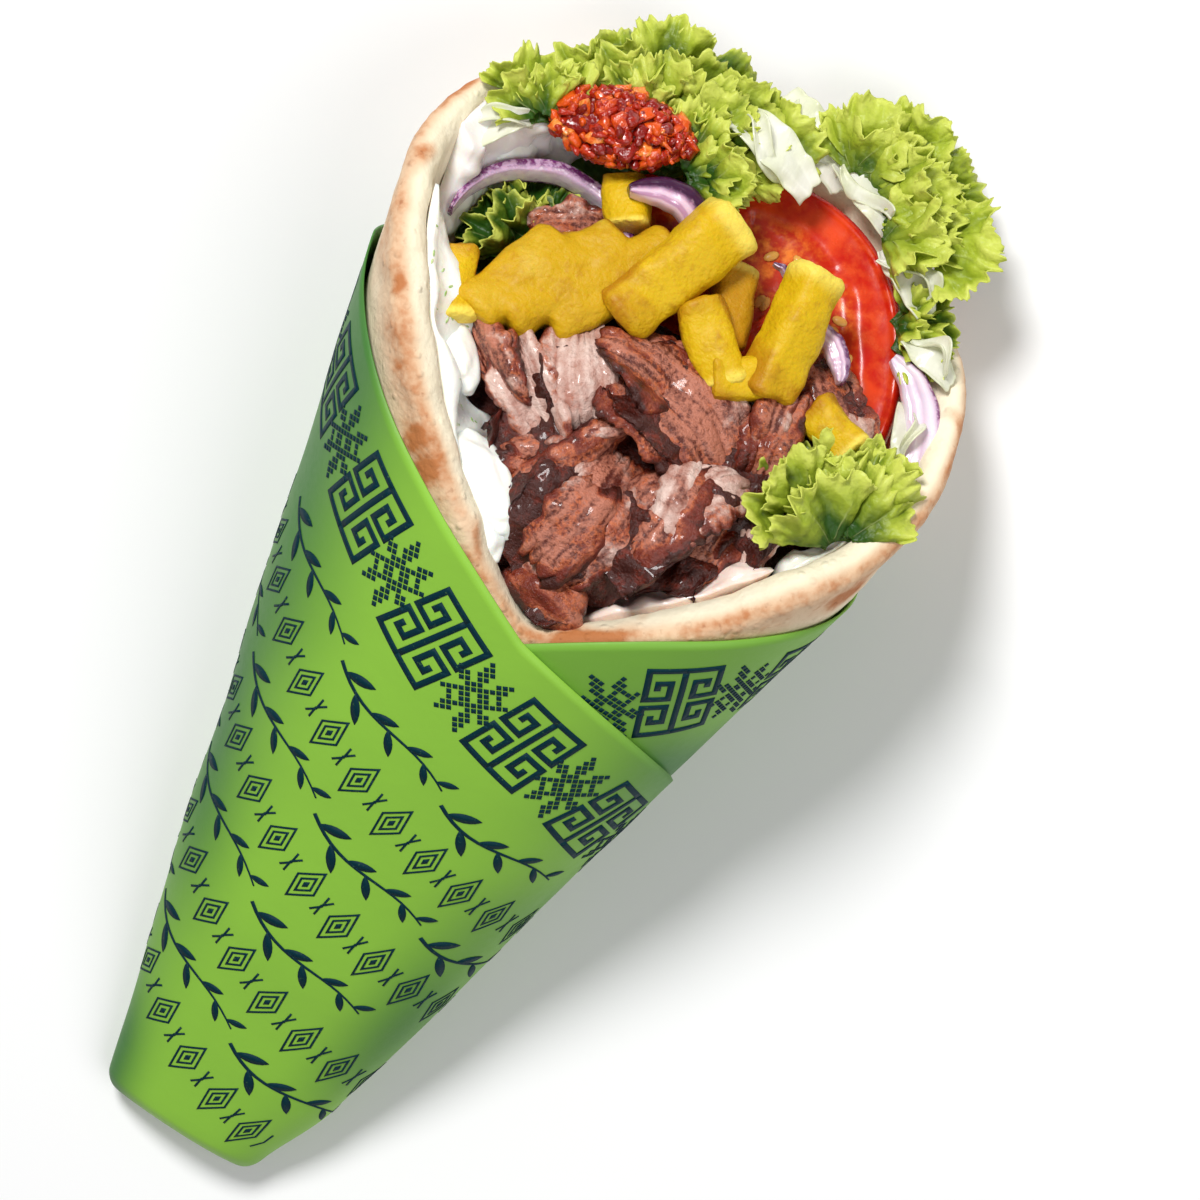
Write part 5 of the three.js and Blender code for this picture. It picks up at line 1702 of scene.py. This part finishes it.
class WRAP_OT_fries(bpy.types.Operator):
    """Adds the fries"""

    bl_idname = "wrap.fries"
    bl_label = "Fries"

    def execute(self, context):
        build_fries(context.scene.wrap_filling)
        return {"FINISHED"}


class WRAP_OT_tomato(bpy.types.Operator):
    """Adds the slice of tomato"""

    bl_idname = "wrap.tomato"
    bl_label = "Tomato"

    def execute(self, context):
        build_tomato(context.scene.wrap_filling)
        return {"FINISHED"}


class WRAP_OT_onions(bpy.types.Operator):
    """Adds the bands of red onion"""

    bl_idname = "wrap.onions"
    bl_label = "Onion"

    def execute(self, context):
        build_onions(context.scene.wrap_filling)
        return {"FINISHED"}


class WRAP_OT_leaves(bpy.types.Operator):
    """Adds the frilled lettuce and the salad under the meat"""

    bl_idname = "wrap.leaves"
    bl_label = "Lettuce"

    def execute(self, context):
        build_leaves(context.scene.wrap_filling)
        return {"FINISHED"}


class WRAP_OT_strips(bpy.types.Operator):
    """Adds the strips of pale cabbage"""

    bl_idname = "wrap.strips"
    bl_label = "Cabbage"

    def execute(self, context):
        build_strips(context.scene.wrap_filling)
        return {"FINISHED"}


class WRAP_OT_sauces(bpy.types.Operator):
    """Adds the sauces and the herbs in them"""

    bl_idname = "wrap.sauces"
    bl_label = "Sauces"

    def execute(self, context):
        build_sauces(context.scene.wrap_filling)
        return {"FINISHED"}


class WRAP_OT_relish(bpy.types.Operator):
    """Adds the heap of pepper relish"""

    bl_idname = "wrap.relish"
    bl_label = "Relish"

    def execute(self, context):
        build_relish(context.scene.wrap_filling)
        return {"FINISHED"}


class WRAP_OT_meat(bpy.types.Operator):
    """Adds the shaved meat"""

    bl_idname = "wrap.meat"
    bl_label = "Meat"

    def execute(self, context):
        build_meat(context.scene.wrap_filling)
        return {"FINISHED"}


class WRAP_OT_stage(bpy.types.Operator):
    """Adds the floor, the lights and the camera"""

    bl_idname = "wrap.stage"
    bl_label = "Stage"

    def execute(self, context):
        build_stage(context.scene.wrap_stage)
        return {"FINISHED"}


OPERATORS = (WRAP_OT_stage, WRAP_OT_paper, WRAP_OT_print, WRAP_OT_bread, WRAP_OT_fries,
             WRAP_OT_tomato, WRAP_OT_onions, WRAP_OT_leaves, WRAP_OT_strips, WRAP_OT_sauces,
             WRAP_OT_relish, WRAP_OT_meat)
GROUPS = {"wrap_paper": WrapPaperSettings, "wrap_bread": WrapBreadSettings,
          "wrap_filling": WrapFillingSettings, "wrap_stage": WrapStageSettings}


class WRAP_PT_panel(bpy.types.Panel):
    """The wrap's settings and its pieces"""

    bl_label = "Gyro wrap"
    bl_space_type = "VIEW_3D"
    bl_region_type = "UI"
    bl_category = "Wrap"

    def draw(self, context):
        for group, kind in GROUPS.items():
            for name in kind.__annotations__:
                self.layout.prop(getattr(context.scene, group), name)
        for operator in OPERATORS:
            self.layout.operator(operator.bl_idname)


def register():
    for group, kind in GROUPS.items():
        bpy.utils.register_class(kind)
        setattr(bpy.types.Scene, group, PointerProperty(type=kind))
    for kind in (*OPERATORS, WRAP_PT_panel):
        bpy.utils.register_class(kind)


def unregister():
    for kind in (WRAP_PT_panel, *reversed(OPERATORS)):
        bpy.utils.unregister_class(kind)
    for group, kind in GROUPS.items():
        delattr(bpy.types.Scene, group)
        bpy.utils.unregister_class(kind)


def main():
    register()
    for operator in OPERATORS:
        group, name = operator.bl_idname.split(".")
        getattr(getattr(bpy.ops, group), name)()


if __name__ == "__main__":
    main()
